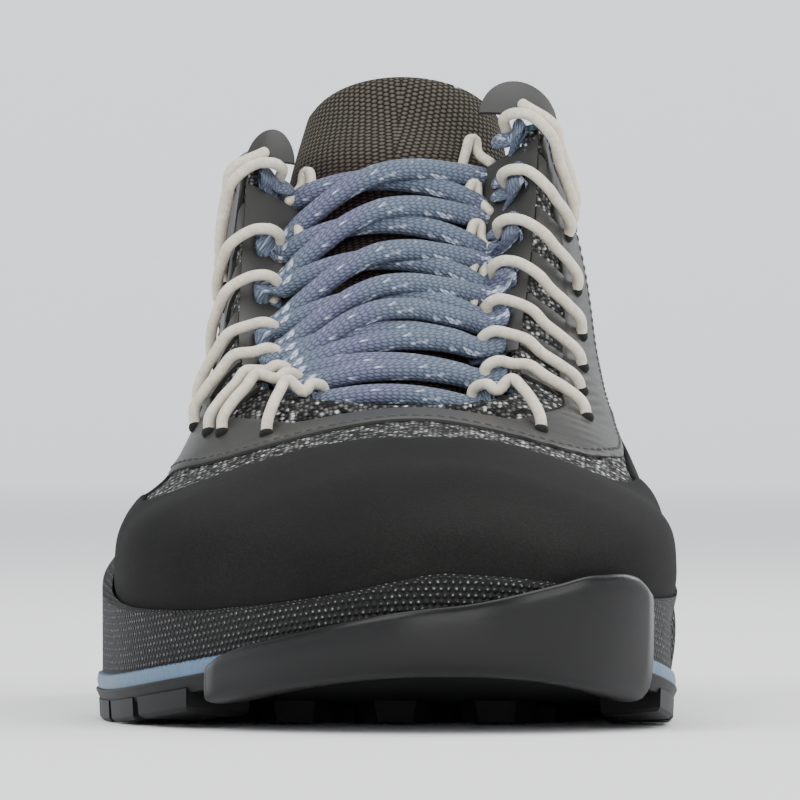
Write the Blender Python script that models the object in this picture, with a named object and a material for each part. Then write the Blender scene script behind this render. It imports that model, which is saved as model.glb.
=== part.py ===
"""Approach shoe for the right foot, standing empty on its sole.

The toe points to -Y, the inner (medial) side is +X, and the floor is Z = 0.
Every form is worked out from the sizes below, through sections from heel to toe.
"""

import math

import bmesh
import bpy
import numpy as np
from mathutils import Vector

# Overall sizes, in metres
LENGTH = 0.272
BALL_WIDTH = 0.100
HEEL_WIDTH = 0.078
COLLAR_HEIGHT = 0.0955
TONGUE_HEIGHT = 0.1125
HEEL_STACK = 0.023
BALL_STACK = 0.014
TOE_SPRING = 0.009
HEEL_BEVEL = 0.012
ARCH_LIFT = 0.002

# Walls, layers and clearances
MERGE = 0.00002
GAP = 0.0003
WALL = 0.0022
RAND = 0.0012
RAND_SEAT = 0.0007
STRIPE = 0.0021
INSOLE = 0.0030
LINING = 0.0038
LINING_ROLL = 0.0024
LINING_DEPTH = 0.042
TONGUE = 0.0052
PLATE = 0.0026
EDGE = 0.0012
WRAP_PROUD = 0.0010
RIM_LIP = 0.0018
LACE = 0.0046
EYE_CORD = 0.0021
LOOP_CORD = 0.0026
SLEEVE_WALL = 0.0007

# Tread: flat under heel and ball, raised at heel, arch and toe
TREAD = 0.0028
LUG_SINK = 0.0008
LUG_GAP = 0.0022
LUG_PITCH = 0.0165
LUG_SIZE = 0.0140
LUG_FIELD = (0.075, 0.86)
EDGE_LUGS = 13
EDGE_LUG_SPAN = (0.055, 0.905)
EDGE_LUG_DEPTH = 0.0120
HEEL_BEVEL_END = 0.14
SPRING_START = 0.74
ARCH = (0.32, 0.52)
WRAP_FOOT = 0.0022
WRAP_LEAN = 0.0012
RIM_DROP = 0.0006

# Tongue's bend across, in radians, and the cords
TONGUE_SWEEP = 1.35
STRAND_RISE = 0.0009
EYELET_INSET = 0.0010
EYE_CORD_REACH = 0.0130
EYE_CORD_TOP = 0.0230
EYE_CORD_LEAN = 0.006
LOOP_TOP = 0.0958
LOOP_RISE = 0.0042
LOOP_SLEEVE = 0.0145
LOOP_STAND = -0.0012
LOOP_BULGE = 0.0178
LOOP_BULGE_Z = 0.0870
LOOP_BEAD = 0.0052
LOOP_BEAD_HIGH = 0.0016
LOOP_BEAD_TURN = 0.078
LOOP_BEAD_Z = 0.0780

# Where the upper stands inside the sole, and where its parts end, as shares of LENGTH
UPPER_HEEL_INSET = 0.0075
UPPER_TOE_INSET = 0.0060
THROAT_FRONT = 0.660
THROAT_ROUND = 0.070
THROAT_TOP = 0.415
MIDSOLE_JOINT = 0.435
RAND_JOINT = 0.50
RAND_PEAK = 0.822
CAP_FALL = 0.22

# Sections that every piece shares: collar, throat and where pieces end
STATIONS = (
    0.006,
    0.022,
    THROAT_TOP,
    RAND_JOINT - 0.002,
    RAND_JOINT + 0.002,
    THROAT_FRONT - THROAT_ROUND * 0.7,
    THROAT_FRONT - THROAT_ROUND * 0.35,
    THROAT_FRONT - THROAT_ROUND * 0.1,
    THROAT_FRONT,
    0.700,
    RAND_PEAK - 0.066,
    RAND_PEAK - 0.044,
    RAND_PEAK - 0.022,
    RAND_PEAK,
)
NEAR_TURN = 0.009
LEVELS = (0.0, 0.12, 0.24, 0.36, 0.48, 0.60, 0.70, 0.78, 0.86, 0.93, 1.0)

# Sole outline: a row for each section, half widths as shares of half BALL_WIDTH
SOLE_COLUMNS = ("along", "lateral", "medial", "centre")
SOLE = (
    (0.00, 0.760, 0.750, 0.000),
    (0.08, 0.776, 0.764, 0.000),
    (0.16, 0.790, 0.770, 0.000),
    (0.26, 0.790, 0.735, 0.000),
    (0.36, 0.800, 0.680, 0.000),
    (0.46, 0.850, 0.690, 0.000),
    (0.56, 0.945, 0.810, 0.000),
    (0.64, 1.000, 0.930, 0.000),
    (0.71, 0.990, 0.990, 0.005),
    (0.78, 0.950, 0.955, 0.030),
    (0.86, 0.900, 0.925, 0.100),
    (0.93, 0.840, 0.880, 0.180),
    (1.00, 0.780, 0.800, 0.240),
)
HEEL_ROUND = 0.145
TOE_ROUND = 0.215
TOE_BLUNT = 2.3

# Upper sections: half widths as shares of half BALL_WIDTH, heights above the board
# as shares of the collar's rise, and the slope of the wall at its upper edge in degrees
SECTION_COLUMNS = ("along", "base", "belly", "belly_z", "side", "side_z", "edge", "edge_z", "slope")
LATERAL = (
    (0.00, 0.55, 0.61, 0.26, 0.48, 0.73, 0.34, 0.990, 92),
    (0.06, 0.57, 0.62, 0.26, 0.51, 0.72, 0.39, 0.955, 90),
    (0.12, 0.58, 0.63, 0.26, 0.55, 0.66, 0.47, 0.875, 90),
    (0.20, 0.59, 0.64, 0.26, 0.59, 0.58, 0.56, 0.785, 88),
    (0.27, 0.59, 0.65, 0.28, 0.62, 0.56, 0.595, 0.765, 86),
    (0.34, 0.60, 0.67, 0.32, 0.645, 0.63, 0.60, 0.870, 84),
    (0.385, 0.62, 0.68, 0.34, 0.64, 0.69, 0.57, 1.030, 82),
    (0.42, 0.64, 0.69, 0.34, 0.62, 0.66, 0.50, 1.105, 78),
    (0.46, 0.66, 0.72, 0.29, 0.62, 0.60, 0.49, 0.930, 62),
    (0.50, 0.69, 0.76, 0.23, 0.64, 0.54, 0.49, 0.780, 50),
    (0.58, 0.79, 0.86, 0.17, 0.72, 0.42, 0.46, 0.625, 30),
    (0.66, 0.85, 0.90, 0.165, 0.75, 0.365, 0.44, 0.545, 0),
    (0.74, 0.84, 0.89, 0.155, 0.745, 0.325, 0.33, 0.500, 0),
    (0.82, 0.82, 0.865, 0.145, 0.72, 0.300, 0.33, 0.450, 0),
    (0.90, 0.79, 0.83, 0.120, 0.68, 0.240, 0.33, 0.355, 0),
    (1.00, 0.75, 0.79, 0.070, 0.62, 0.140, 0.33, 0.200, 0),
)
MEDIAL = (
    (0.00, 0.55, 0.61, 0.26, 0.48, 0.73, 0.34, 0.990, 92),
    (0.06, 0.57, 0.62, 0.26, 0.51, 0.73, 0.39, 0.965, 90),
    (0.12, 0.58, 0.63, 0.26, 0.55, 0.68, 0.47, 0.905, 90),
    (0.20, 0.59, 0.64, 0.27, 0.59, 0.62, 0.56, 0.840, 88),
    (0.27, 0.58, 0.655, 0.32, 0.62, 0.62, 0.595, 0.840, 86),
    (0.34, 0.58, 0.69, 0.38, 0.655, 0.68, 0.60, 0.935, 84),
    (0.385, 0.59, 0.72, 0.41, 0.67, 0.73, 0.58, 1.085, 82),
    (0.42, 0.61, 0.745, 0.40, 0.67, 0.71, 0.53, 1.170, 78),
    (0.46, 0.63, 0.77, 0.34, 0.68, 0.64, 0.52, 0.985, 62),
    (0.50, 0.66, 0.80, 0.28, 0.70, 0.58, 0.50, 0.820, 50),
    (0.58, 0.75, 0.87, 0.21, 0.77, 0.46, 0.47, 0.635, 30),
    (0.66, 0.86, 0.915, 0.185, 0.81, 0.385, 0.44, 0.545, 0),
    (0.74, 0.89, 0.935, 0.170, 0.815, 0.340, 0.33, 0.500, 0),
    (0.82, 0.87, 0.915, 0.155, 0.79, 0.310, 0.33, 0.450, 0),
    (0.90, 0.83, 0.87, 0.125, 0.74, 0.250, 0.33, 0.355, 0),
    (1.00, 0.78, 0.82, 0.070, 0.66, 0.140, 0.33, 0.200, 0),
)
# Middle of the throat and of the toe, as shares of half BALL_WIDTH
RIDGE = (
    (0.00, 0.000),
    (0.30, 0.000),
    (0.40, -0.030),
    (0.50, -0.045),
    (0.58, -0.040),
    (0.62, 0.020),
    (0.66, 0.080),
    (0.74, 0.110),
    (0.86, 0.180),
    (1.00, 0.240),
)
UPPER_CENTRE = ((0.00, 0.0), (0.70, 0.0), (0.78, 0.030), (0.86, 0.090), (0.93, 0.165), (1.00, 0.240))
UPPER_HEEL_ROUND = 0.135
UPPER_TOE_ROUND = 0.230
NOSE_ROUND = 0.100
NOSE = 0.100

# Back seam: how far it lies forward of the rearmost point, at shares of the collar's rise
HEEL_CURVE = ((0.0, 0.0016), (0.28, 0.0), (0.60, 0.0036), (0.80, 0.0058), (1.05, 0.0036))
HEEL_CURVE_END = 0.30

# Lines round the shoe: a row for each turn from heel (0) to toe (1), heights in metres
SOLE_TOP = (
    (0.000, 0.0188),
    (0.040, 0.0186),
    (0.074, 0.0159),
    (0.099, 0.0129),
    (0.159, 0.0077),
    (0.248, 0.0054),
    (1.000, 0.0054),
)
RIM_COLUMNS = ("turn", "lateral", "medial")
RIM = (
    (0.000, 0.0548, 0.0548),
    (0.033, 0.0545, 0.0545),
    (0.055, 0.0480, 0.0480),
    (0.083, 0.0445, 0.0445),
    (0.125, 0.0420, 0.0420),
    (0.200, 0.0365, 0.0370),
    (0.320, 0.0360, 0.0370),
    (0.420, 0.0385, 0.0400),
    (0.460, 0.0385, 0.0400),
    (0.520, 0.0325, 0.0345),
    (0.580, 0.0265, 0.0290),
    (0.640, 0.0225, 0.0250),
    (0.700, 0.0205, 0.0225),
    (0.780, 0.0200, 0.0220),
    (0.860, 0.0212, 0.0232),
    (0.930, 0.0232, 0.0250),
    (1.000, 0.0262, 0.0262),
)
RAND_TOP = (
    (0.500, 0.0470, 0.0490),
    (0.540, 0.0430, 0.0455),
    (0.580, 0.0395, 0.0425),
    (0.620, 0.0368, 0.0400),
    (0.655, 0.0365, 0.0400),
    (0.680, 0.0370, 0.0410),
)
WRAP_TOP = (
    (0.000, 0.0756, 0.0756),
    (0.060, 0.0740, 0.0740),
    (0.140, 0.0680, 0.0680),
    (0.220, 0.0630, 0.0640),
    (0.320, 0.0585, 0.0600),
    (0.420, 0.0535, 0.0550),
    (0.500, 0.0470, 0.0490),
)
# Toe of the outsole: how high it wraps up, from the lateral edge to the medial edge
TOE_WRAP = (
    (0.860, 0.0120),
    (0.900, 0.0160),
    (0.960, 0.0195),
    (1.020, 0.0215),
    (1.080, 0.0240),
    (1.140, 0.0262),
    (1.240, 0.0262),
)

# Tongue: a row for each section, front to top
TONGUE_COLUMNS = ("along", "crest_z", "centre", "half_width", "drop")
TONGUE_ROWS = (
    (0.715, 0.0440, 0.10, 0.30, 0.10),
    (0.665, 0.0482, 0.06, 0.36, 0.13),
    (0.620, 0.0538, 0.00, 0.38, 0.16),
    (0.580, 0.0625, -0.04, 0.40, 0.20),
    (0.540, 0.0700, -0.045, 0.41, 0.26),
    (0.500, 0.0780, -0.045, 0.42, 0.30),
    (0.460, 0.0865, -0.04, 0.43, 0.32),
    (0.430, 0.0940, -0.03, 0.43, 0.32),
    (0.400, 0.1025, -0.01, 0.41, 0.30),
    (0.372, 0.1125, 0.00, 0.36, 0.26),
)

# Eyelets on the throat's edge, top to front, as shares of LENGTH
EYELETS = {
    -1: (0.440, 0.470, 0.498, 0.542, 0.575, 0.600, 0.612, 0.631),
    1: (0.430, 0.452, 0.476, 0.500, 0.530, 0.562, 0.598, 0.633),
}
# Lace strands, as eyelet numbers lateral and medial, front to top
STRANDS = (
    (7, 7), (6, 6), (5, 6), (5, 5), (4, 5), (5, 4), (3, 4), (4, 3),
    (2, 3), (3, 2), (1, 2), (2, 1), (0, 1), (1, 0),
)

def smooth(rows, at, column=1):
    """Value of a table's column at a share of the length, through a smooth curve."""
    xs = np.array([row[0] for row in rows], float)
    ys = np.array([row[column] for row in rows], float)
    at = np.clip(np.asarray(at, float), xs[0], xs[-1])
    secants = np.diff(ys) / np.diff(xs)
    slopes = np.concatenate(([secants[0]], (secants[:-1] + secants[1:]) / 2, [secants[-1]]))
    flat = np.concatenate(([False], secants[:-1] * secants[1:] <= 0, [False]))
    slopes[flat] = 0.0
    i = np.clip(np.searchsorted(xs, at, side="right") - 1, 0, len(xs) - 2)
    h = xs[i + 1] - xs[i]
    t = (at - xs[i]) / h
    return (
        (2 * t**3 - 3 * t**2 + 1) * ys[i]
        + (t**3 - 2 * t**2 + t) * h * slopes[i]
        + (3 * t**2 - 2 * t**3) * ys[i + 1]
        + (t**3 - t**2) * h * slopes[i + 1]
    )


def rounding(along, heel, toe):
    """1 along the shoe's middle, falling to 0 as an ellipse does, and more bluntly at the toe."""
    back = np.clip(1 - np.asarray(along, float) / heel, 0, 1)
    front = np.clip(1 - (1 - np.asarray(along, float)) / toe, 0, 1)
    blunt = (1 - front**TOE_BLUNT) ** (1 / TOE_BLUNT)
    return np.sqrt(1 - back**2) * blunt


def rise_of_toe(along):
    return TOE_SPRING * np.clip((np.asarray(along, float) - 0.74) / 0.26, 0, 1) ** 2


def board(along):
    """Height of the board that the upper and the insole stand on."""
    step = smooth(((0.0, 1.0), (0.18, 1.0), (0.62, 0.0), (1.0, 0.0)), along)
    return BALL_STACK + (HEEL_STACK - BALL_STACK) * step + rise_of_toe(along)


def sole_edge(along, side, inset=0.0):
    """Point of the sole's outline, side +1 medial or -1 lateral, set in by a distance."""
    along = np.asarray(along, float)
    half = BALL_WIDTH / 2
    heel_scale = HEEL_WIDTH / (0.78 * BALL_WIDTH)
    widen = 1 + (heel_scale - 1) * np.clip(1 - along / 0.4, 0, 1)
    width = smooth(SOLE, along, 2 if side > 0 else 1) * half * widen - inset
    x = smooth(SOLE, along, 3) * half + side * width * rounding(along, HEEL_ROUND, TOE_ROUND)
    y = LENGTH / 2 - inset - along * (LENGTH - WRAP_PROUD - 2 * inset)
    return x, y


def upper_section(along, side, height):
    """Half width and height above the board at a share of the wall, from base (0) to edge (1)."""
    rows = MEDIAL if side > 0 else LATERAL
    half, rise = BALL_WIDTH / 2, COLLAR_HEIGHT - HEEL_STACK
    value = {name: smooth(rows, along, k) for k, name in enumerate(SECTION_COLUMNS) if k}
    centre = smooth(UPPER_CENTRE, along)
    ridge = smooth(RIDGE, along)
    opening = np.clip((along - (THROAT_FRONT - THROAT_ROUND)) / THROAT_ROUND, 0, 1)
    edge = value["edge"] * np.sqrt(np.clip(1 - opening**2, 0, 1))
    other = smooth(LATERAL if side > 0 else MEDIAL, along, SECTION_COLUMNS.index("edge_z"))
    value["edge_z"] = value["edge_z"] + (other - value["edge_z"]) * opening**2 / 2
    round_plan = rounding(along, UPPER_HEEL_ROUND, UPPER_TOE_ROUND)
    nose = np.sqrt(np.clip(1 - np.clip(1 - (1 - along) / NOSE_ROUND, 0, 1) ** 2, 0, 1))
    nose_z = NOSE + (value["edge_z"] - NOSE) * nose
    lower = np.where(along > 1 - NOSE_ROUND, nose_z / value["edge_z"], 1.0)
    # Points of the section, as x from the shoe's axis and z above the board
    xs = [
        centre + side * value["base"] * round_plan,
        centre + side * value["belly"] * round_plan,
        centre + side * value["side"] * round_plan,
        ridge + side * edge * round_plan,
    ]
    zs = [0 * along, value["belly_z"] * lower, value["side_z"] * lower, nose_z]
    angle = np.radians(value["slope"])
    reach = np.hypot(xs[3] - xs[2], zs[3] - zs[2])
    knots = (0.0, 0.22, 0.60, 1.0)
    mx = [(xs[1] - xs[0]) / 0.22, 0 * along, (xs[3] - xs[1]) / 0.78, -side * np.cos(angle) * reach / 0.40]
    mz = [
        (zs[1] - zs[0]) / 0.22,
        (zs[2] - zs[0]) / 0.60,
        (zs[3] - zs[1]) / 0.78,
        np.sin(angle) * reach / 0.40,
    ]
    height = np.asarray(height, float)
    x, z = 0 * height * along, 0 * height * along
    for k in range(3):
        h = knots[k + 1] - knots[k]
        inside = (height >= knots[k]) & ((height < knots[k + 1]) | (k == 2))
        t = (np.clip(height, knots[k], 1.0) - knots[k]) / h
        a, b, c, d = 2 * t**3 - 3 * t**2 + 1, t**3 - 2 * t**2 + t, 3 * t**2 - 2 * t**3, t**3 - t**2
        beyond = np.clip(height - 1, 0, None)
        px = a * xs[k] + b * h * mx[k] + c * xs[k + 1] + d * h * mx[k + 1] + beyond * mx[3]
        pz = a * zs[k] + b * h * mz[k] + c * zs[k + 1] + d * h * mz[k + 1] + beyond * mz[3]
        x, z = np.where(inside, px, x), np.where(inside, pz, z)
    return x * half, z * rise


def upper_point(turn, height, offset=0.0):
    """Point of the upper's outer face, moved out by an offset.

    turn runs round the shoe: 0 at the heel, 1 at the toe on the lateral side, and
    1 to 2 back to the heel on the medial side. height is a share of the wall.
    """
    turn, height = np.broadcast_arrays(np.asarray(turn, float), np.asarray(height, float))
    if np.any(offset):
        step = 1e-3
        du = upper_point(turn + step, height) - upper_point(turn - step, height)
        dv = upper_point(turn, height + step) - upper_point(turn, height - step)
        normal = np.cross(du, dv)
        normal /= np.linalg.norm(normal, axis=-1, keepdims=True) + 1e-12
        return upper_point(turn, height) + normal * np.asarray(offset)[..., None]
    wrapped = np.mod(turn, 2.0)
    lateral = wrapped <= 1.0
    along = (1 - np.cos(np.pi * wrapped)) / 2
    height = np.where(height < 0, 0, height)
    xl, zl = upper_section(along, -1, height)
    xm, zm = upper_section(along, 1, height)
    x, z = np.where(lateral, xl, xm), np.where(lateral, zl, zm)
    y = LENGTH / 2 - UPPER_HEEL_INSET - along * (LENGTH - UPPER_HEEL_INSET - UPPER_TOE_INSET)
    share = z / (COLLAR_HEIGHT - HEEL_STACK)
    y = y - smooth(HEEL_CURVE, share) * np.clip(1 - along / HEEL_CURVE_END, 0, 1) ** 2
    return np.stack([x, y, z + board(along)], axis=-1)


def turn_at(along, side):
    """Turn of a section on one side of the shoe."""
    turn = math.acos(1 - 2 * along) / math.pi
    return turn if side < 0 else 2 - turn


def along_at(turn):
    return (1 - np.cos(np.pi * np.asarray(turn, float))) / 2


def by_turn(rows, turn):
    """Value of a line round the shoe, with a lateral and a medial column."""
    turn = np.mod(np.asarray(turn, float), 2.0)
    lateral = smooth(rows, turn, 1)
    medial = smooth(rows, 2 - turn, len(rows[0]) - 1)
    return np.where(turn <= 1.0, lateral, medial)


def height_at(turn, z, offset=0.0):
    """Share of the wall's height at which the upper's face reaches a world height."""
    shares = np.linspace(0, 1, 81)
    values = [upper_point(turn, share, offset)[..., 2] for share in shares]
    stack = np.stack(values, axis=-1)
    turn, z = np.broadcast_arrays(np.asarray(turn, float), np.asarray(z, float))
    flat = [np.interp(b, np.maximum.accumulate(a), shares) for a, b in zip(stack.reshape(-1, 81), z.ravel())]
    return np.array(flat).reshape(turn.shape)


def past_edge(turn, distance):
    """Share of the wall's height that lies a distance beyond its upper edge."""
    step = 1e-3
    length = np.linalg.norm(upper_point(turn, 1.0 + step) - upper_point(turn, 1.0), axis=-1)
    return 1.0 + distance * step / length


# Materials and objects

def material(name, colour, roughness, metallic=0.0):
    found = bpy.data.materials.get(name)
    if found:
        return found
    made = bpy.data.materials.new(name)
    made.use_nodes = True
    shader = made.node_tree.nodes["Principled BSDF"]
    shader.inputs["Base Color"].default_value = (*colour, 1.0)
    shader.inputs["Roughness"].default_value = roughness
    shader.inputs["Metallic"].default_value = metallic
    return made


def add_object(name, points, faces, finish, smooth_shading=True):
    """One named object from points and faces, merged where they meet, facing outwards."""
    mesh = bpy.data.meshes.new(name)
    faces = [tuple(dict.fromkeys(int(index) for index in face)) for face in faces]
    faces = [face for face in faces if len(face) > 2]
    mesh.from_pydata([tuple(map(float, point)) for point in points], [], faces)
    bm = bmesh.new()
    bm.from_mesh(mesh)
    bmesh.ops.remove_doubles(bm, verts=bm.verts, dist=MERGE)
    bmesh.ops.dissolve_degenerate(bm, edges=bm.edges, dist=MERGE)
    bmesh.ops.recalc_face_normals(bm, faces=bm.faces)
    bm.to_mesh(mesh)
    bm.free()
    if smooth_shading:
        mesh.shade_smooth()
        mesh.set_sharp_from_angle(angle=math.radians(40))
    mesh.materials.append(finish)
    made = bpy.data.objects.new(name, mesh)
    bpy.context.scene.collection.objects.link(made)
    return made


def join_columns(columns, round_shoe, open_at=None, caps=True):
    """Faces between closed columns of points that stand side by side.

    open_at(i) says that the face across the wall's top is left out between columns
    i and i + 1, where both halves of the upper meet. open_at has its row in second place.
    """
    count, deep = columns.shape[:2]
    points = columns.reshape(-1, 3)
    faces = []
    for i in range(count if round_shoe else count - 1):
        following = (i + 1) % count
        for j in range(deep):
            if open_at is not None and j == open_at[1] and open_at[0](i, following):
                continue
            after = (j + 1) % deep
            a, b = i * deep + j, i * deep + after
            c, d = following * deep + after, following * deep + j
            faces.append((a, b, c, d))
    if not round_shoe and caps:
        faces.append(tuple(range(deep)))
        faces.append(tuple(range((count - 1) * deep, count * deep)))
    return points, faces


def meet_at_ridge(columns, levels, shut, shift):
    """Brings both halves together along the ridge: column i and its mirror image."""
    count = len(columns)
    for i in range(count):
        opposite = (shift - i) % count
        if shut[i]:
            for level in levels:
                middle = (columns[i, level] + columns[opposite, level]) / 2
                columns[i, level] = middle
                columns[opposite, level] = middle


def fill_across(columns, level, count):
    """Strips across a ring that is the same on both sides: column i with count - i."""
    deep = columns.shape[1]
    faces = []
    for i in range(count // 2):
        left, right = i * deep + level, ((count - i) % count) * deep + level
        left_next, right_next = (i + 1) * deep + level, (count - i - 1) * deep + level
        faces.append((left, left_next, right_next, right))
    return faces


def ring_solid(columns):
    """Solid from open columns round the shoe, closed below and above across it."""
    count, deep = columns.shape[:2]
    points = columns.reshape(-1, 3)
    faces = []
    for i in range(count):
        following = (i + 1) % count
        for j in range(deep - 1):
            faces.append((i * deep + j, i * deep + j + 1, following * deep + j + 1, following * deep + j))
    return points, faces + fill_across(columns, 0, count) + fill_across(columns, deep - 1, count)


def turns_round(steps):
    """Turns round the whole shoe, the same on both sides."""
    half = np.array(steps)
    return np.concatenate([half, 2 - half[-2:0:-1]])


def edge_points(turns, inset, z):
    """Points on the sole's outline at each turn, set in, at a height."""
    points = []
    for turn, level in zip(turns, np.broadcast_to(z, turns.shape)):
        side = -1 if turn <= 1.0 else 1
        x, y = sole_edge(along_at(turn), side, inset)
        points.append((float(x), float(y), float(level)))
    return np.array(points)


def cut_flat(made, y, keep_front):
    """Cuts an object at a plane across the shoe and closes it there."""
    bm = bmesh.new()
    bm.from_mesh(made.data)
    cut = bmesh.ops.bisect_plane(
        bm,
        geom=bm.verts[:] + bm.edges[:] + bm.faces[:],
        plane_co=(0, y, 0),
        plane_no=(0, 1, 0),
        clear_outer=keep_front,
        clear_inner=not keep_front,
    )
    edges = [part for part in cut["geom_cut"] if isinstance(part, bmesh.types.BMEdge)]
    bmesh.ops.edgenet_fill(bm, edges=edges)
    bmesh.ops.triangulate(bm, faces=bm.faces)
    bmesh.ops.recalc_face_normals(bm, faces=bm.faces)
    bm.to_mesh(made.data)
    bm.free()


def frames_along(path):
    """Two directions square to a path at each of its points, without twist."""
    tangents = np.gradient(path, axis=0)
    tangents /= np.linalg.norm(tangents, axis=1, keepdims=True)
    first = np.cross(tangents[0], (0.0, 0.0, 1.0))
    if np.linalg.norm(first) < 0.1:
        first = np.cross(tangents[0], (1.0, 0.0, 0.0))
    sides = [first / np.linalg.norm(first)]
    for tangent in tangents[1:]:
        side = sides[-1] - tangent * np.dot(sides[-1], tangent)
        sides.append(side / np.linalg.norm(side))
    sides = np.array(sides)
    return sides, np.cross(tangents, sides)


def tube(path, radius, sides=8, bore=0.0):
    """Solid round bar along a path, or a pipe where it has a bore radius."""
    path = np.asarray(path, float)
    across, up = frames_along(path)
    angles = np.arange(sides) * 2 * math.pi / sides
    ring = np.cos(angles)[None, :, None] * across[:, None] + np.sin(angles)[None, :, None] * up[:, None]
    outer = path[:, None] + ring * radius
    count = len(path)
    faces = []
    for i in range(count - 1):
        for j in range(sides):
            k = (j + 1) % sides
            faces.append((i * sides + j, i * sides + k, (i + 1) * sides + k, (i + 1) * sides + j))
    points = outer.reshape(-1, 3)
    if not bore:
        faces.append(tuple(range(sides)))
        faces.append(tuple(range((count - 1) * sides, count * sides)))
        return points, faces
    shift = count * sides
    points = np.concatenate([points, (path[:, None] + ring * bore).reshape(-1, 3)])
    faces += [tuple(index + shift for index in face) for face in faces]
    for i in (0, count - 1):
        for j in range(sides):
            a, b = i * sides + j, i * sides + (j + 1) % sides
            faces.append((a, b, b + shift, a + shift))
    return points, faces


def smooth_path(points, count):
    """Smooth curve through points chosen by hand, at even steps."""
    points = np.asarray(points, float)
    lengths = np.concatenate([[0], np.cumsum(np.linalg.norm(np.diff(points, axis=0), axis=1))])
    rows = np.column_stack([lengths, points])
    at = np.linspace(0, lengths[-1], count)
    return np.column_stack([smooth(rows, at, column) for column in (1, 2, 3)])


# Pieces

def ground(along):
    """Height of the tread's lowest points: flat, raised at the toe, heel and arch."""
    along = np.asarray(along, float)
    heel = HEEL_BEVEL * np.clip(1 - along / HEEL_BEVEL_END, 0, 1) ** 2
    arch = ARCH_LIFT * np.sin(np.pi * np.clip((along - ARCH[0]) / (ARCH[1] - ARCH[0]), 0, 1)) ** 2
    return heel + arch + TOE_SPRING * np.clip((along - SPRING_START) / (1 - SPRING_START), 0, 1) ** 2


def along_of(y):
    return (LENGTH / 2 - y) / (LENGTH - WRAP_PROUD)


def sole_top(turn):
    """Height of the outsole's upper edge, which the layers above follow."""
    turn = np.mod(np.asarray(turn, float), 2.0)
    turn = np.where(turn > 1, 2 - turn, turn)
    return smooth(SOLE_TOP, turn) + rise_of_toe(along_at(turn))


def shoe_turns():
    """Turns round the shoe that every piece shares, so that their faces stay parallel."""
    half = list(np.linspace(0, 1, 29))
    fixed = [0.0, 1.0] + [turn_at(along, -1) for along in STATIONS]
    half += fixed[2:]
    kept = []
    for turn in sorted(half):
        near = [other for other in half if 0 < abs(turn - other) < NEAR_TURN and other in fixed]
        if turn in fixed or not near:
            kept.append(turn)
    return turns_round(kept)


def between(turns, first, last):
    """The shared turns from one turn to another, running through the heel if last is lower."""
    turns = np.concatenate([turns, turns + 2.0])
    last = last if last > first else last + 2.0
    inside = (turns >= first - 1e-9) & (turns <= last + 1e-9)
    return turns[inside]


def make_outsole(turns):
    """Outsole: plate, lugs and the smooth toe that wraps up over the midsole."""
    rubber = material("outsole_rubber", (0.018, 0.018, 0.019), 0.65)
    top = sole_top(turns)
    low = ground(along_at(turns)) + TREAD
    low = np.minimum(low, top - PLATE)
    columns = np.stack([edge_points(turns, EDGE, low), edge_points(turns, 0.0, (low + top) / 2), edge_points(turns, 0.0, top)], 1)
    plate = add_object("outsole", *ring_solid(columns), rubber)

    points, faces = [], []

    def add_block(outline):
        """Adds one lug: an outline seen from below, sunk a little into the plate."""
        start, count = len(points), len(outline)
        for x, y in outline:
            points.append((x, y, float(ground(along_of(y)))))
        for x, y in outline:
            points.append((x, y, float(ground(along_of(y))) + TREAD + LUG_SINK))
        faces.append(tuple(range(start, start + count)))
        faces.append(tuple(range(start + count, start + 2 * count)))
        for k in range(count):
            m = (k + 1) % count
            faces.append((start + k, start + m, start + count + m, start + count + k))

    for side in (-1, 1):
        for k in range(EDGE_LUGS):
            first = EDGE_LUG_SPAN[0] + (EDGE_LUG_SPAN[1] - EDGE_LUG_SPAN[0]) * k / EDGE_LUGS
            last = first + (EDGE_LUG_SPAN[1] - EDGE_LUG_SPAN[0]) / EDGE_LUGS - LUG_GAP / LENGTH
            outer = [sole_edge(along, side, EDGE + 0.0004) for along in (first, last)]
            inner = [sole_edge(along, side, EDGE_LUG_DEPTH) for along in (last, first)]
            add_block([(float(x), float(y)) for x, y in outer + inner])
    rows = int((LUG_FIELD[1] - LUG_FIELD[0]) * LENGTH / LUG_PITCH)
    for row in range(rows + 1):
        y = LENGTH / 2 - LUG_FIELD[0] * LENGTH - row * LUG_PITCH
        along = along_of(y)
        left, _ = sole_edge(along, -1, EDGE_LUG_DEPTH + LUG_GAP)
        right, _ = sole_edge(along, 1, EDGE_LUG_DEPTH + LUG_GAP)
        middle, reach = float(left + right) / 2, float(right - left) / 2
        places = int(2 * reach / LUG_PITCH)
        for place in range(places):
            x = middle + (place - (places - 1) / 2) * LUG_PITCH * 1.02
            size = LUG_SIZE / 2
            add_block([
                (x - size, y),
                (x - size * 0.45, y + size * 0.82),
                (x + size * 0.45, y + size * 0.82),
                (x + size, y),
                (x + size * 0.45, y - size * 0.82),
                (x - size * 0.45, y - size * 0.82),
            ])
    lugs = add_object("lugs_guide", points, faces, rubber, False)

    wrap_turns = between(turns, TOE_WRAP[0][0], TOE_WRAP[-1][0])
    rise = smooth(TOE_WRAP, wrap_turns)
    foot = sole_top(wrap_turns) - WRAP_FOOT
    inner = EDGE - GAP
    lean = WRAP_LEAN
    columns = np.stack([
        edge_points(wrap_turns, inner, foot),
        edge_points(wrap_turns, inner, rise),
        edge_points(wrap_turns, -WRAP_PROUD * 0.6, rise + 0.0004),
        edge_points(wrap_turns, -WRAP_PROUD, rise - lean),
        edge_points(wrap_turns, -WRAP_PROUD, foot + 0.001),
        edge_points(wrap_turns, 0.0005, foot),
    ], 1)
    wrap = add_object("wrap_guide", *join_columns(columns, False), rubber)
    for guide in (lugs, wrap):
        guide.hide_render = True
        guide.display_type = "WIRE"
        union = plate.modifiers.new(guide.name, "BOOLEAN")
        union.operation = "UNION"
        union.object = guide
        union.solver = "MANIFOLD"


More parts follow.
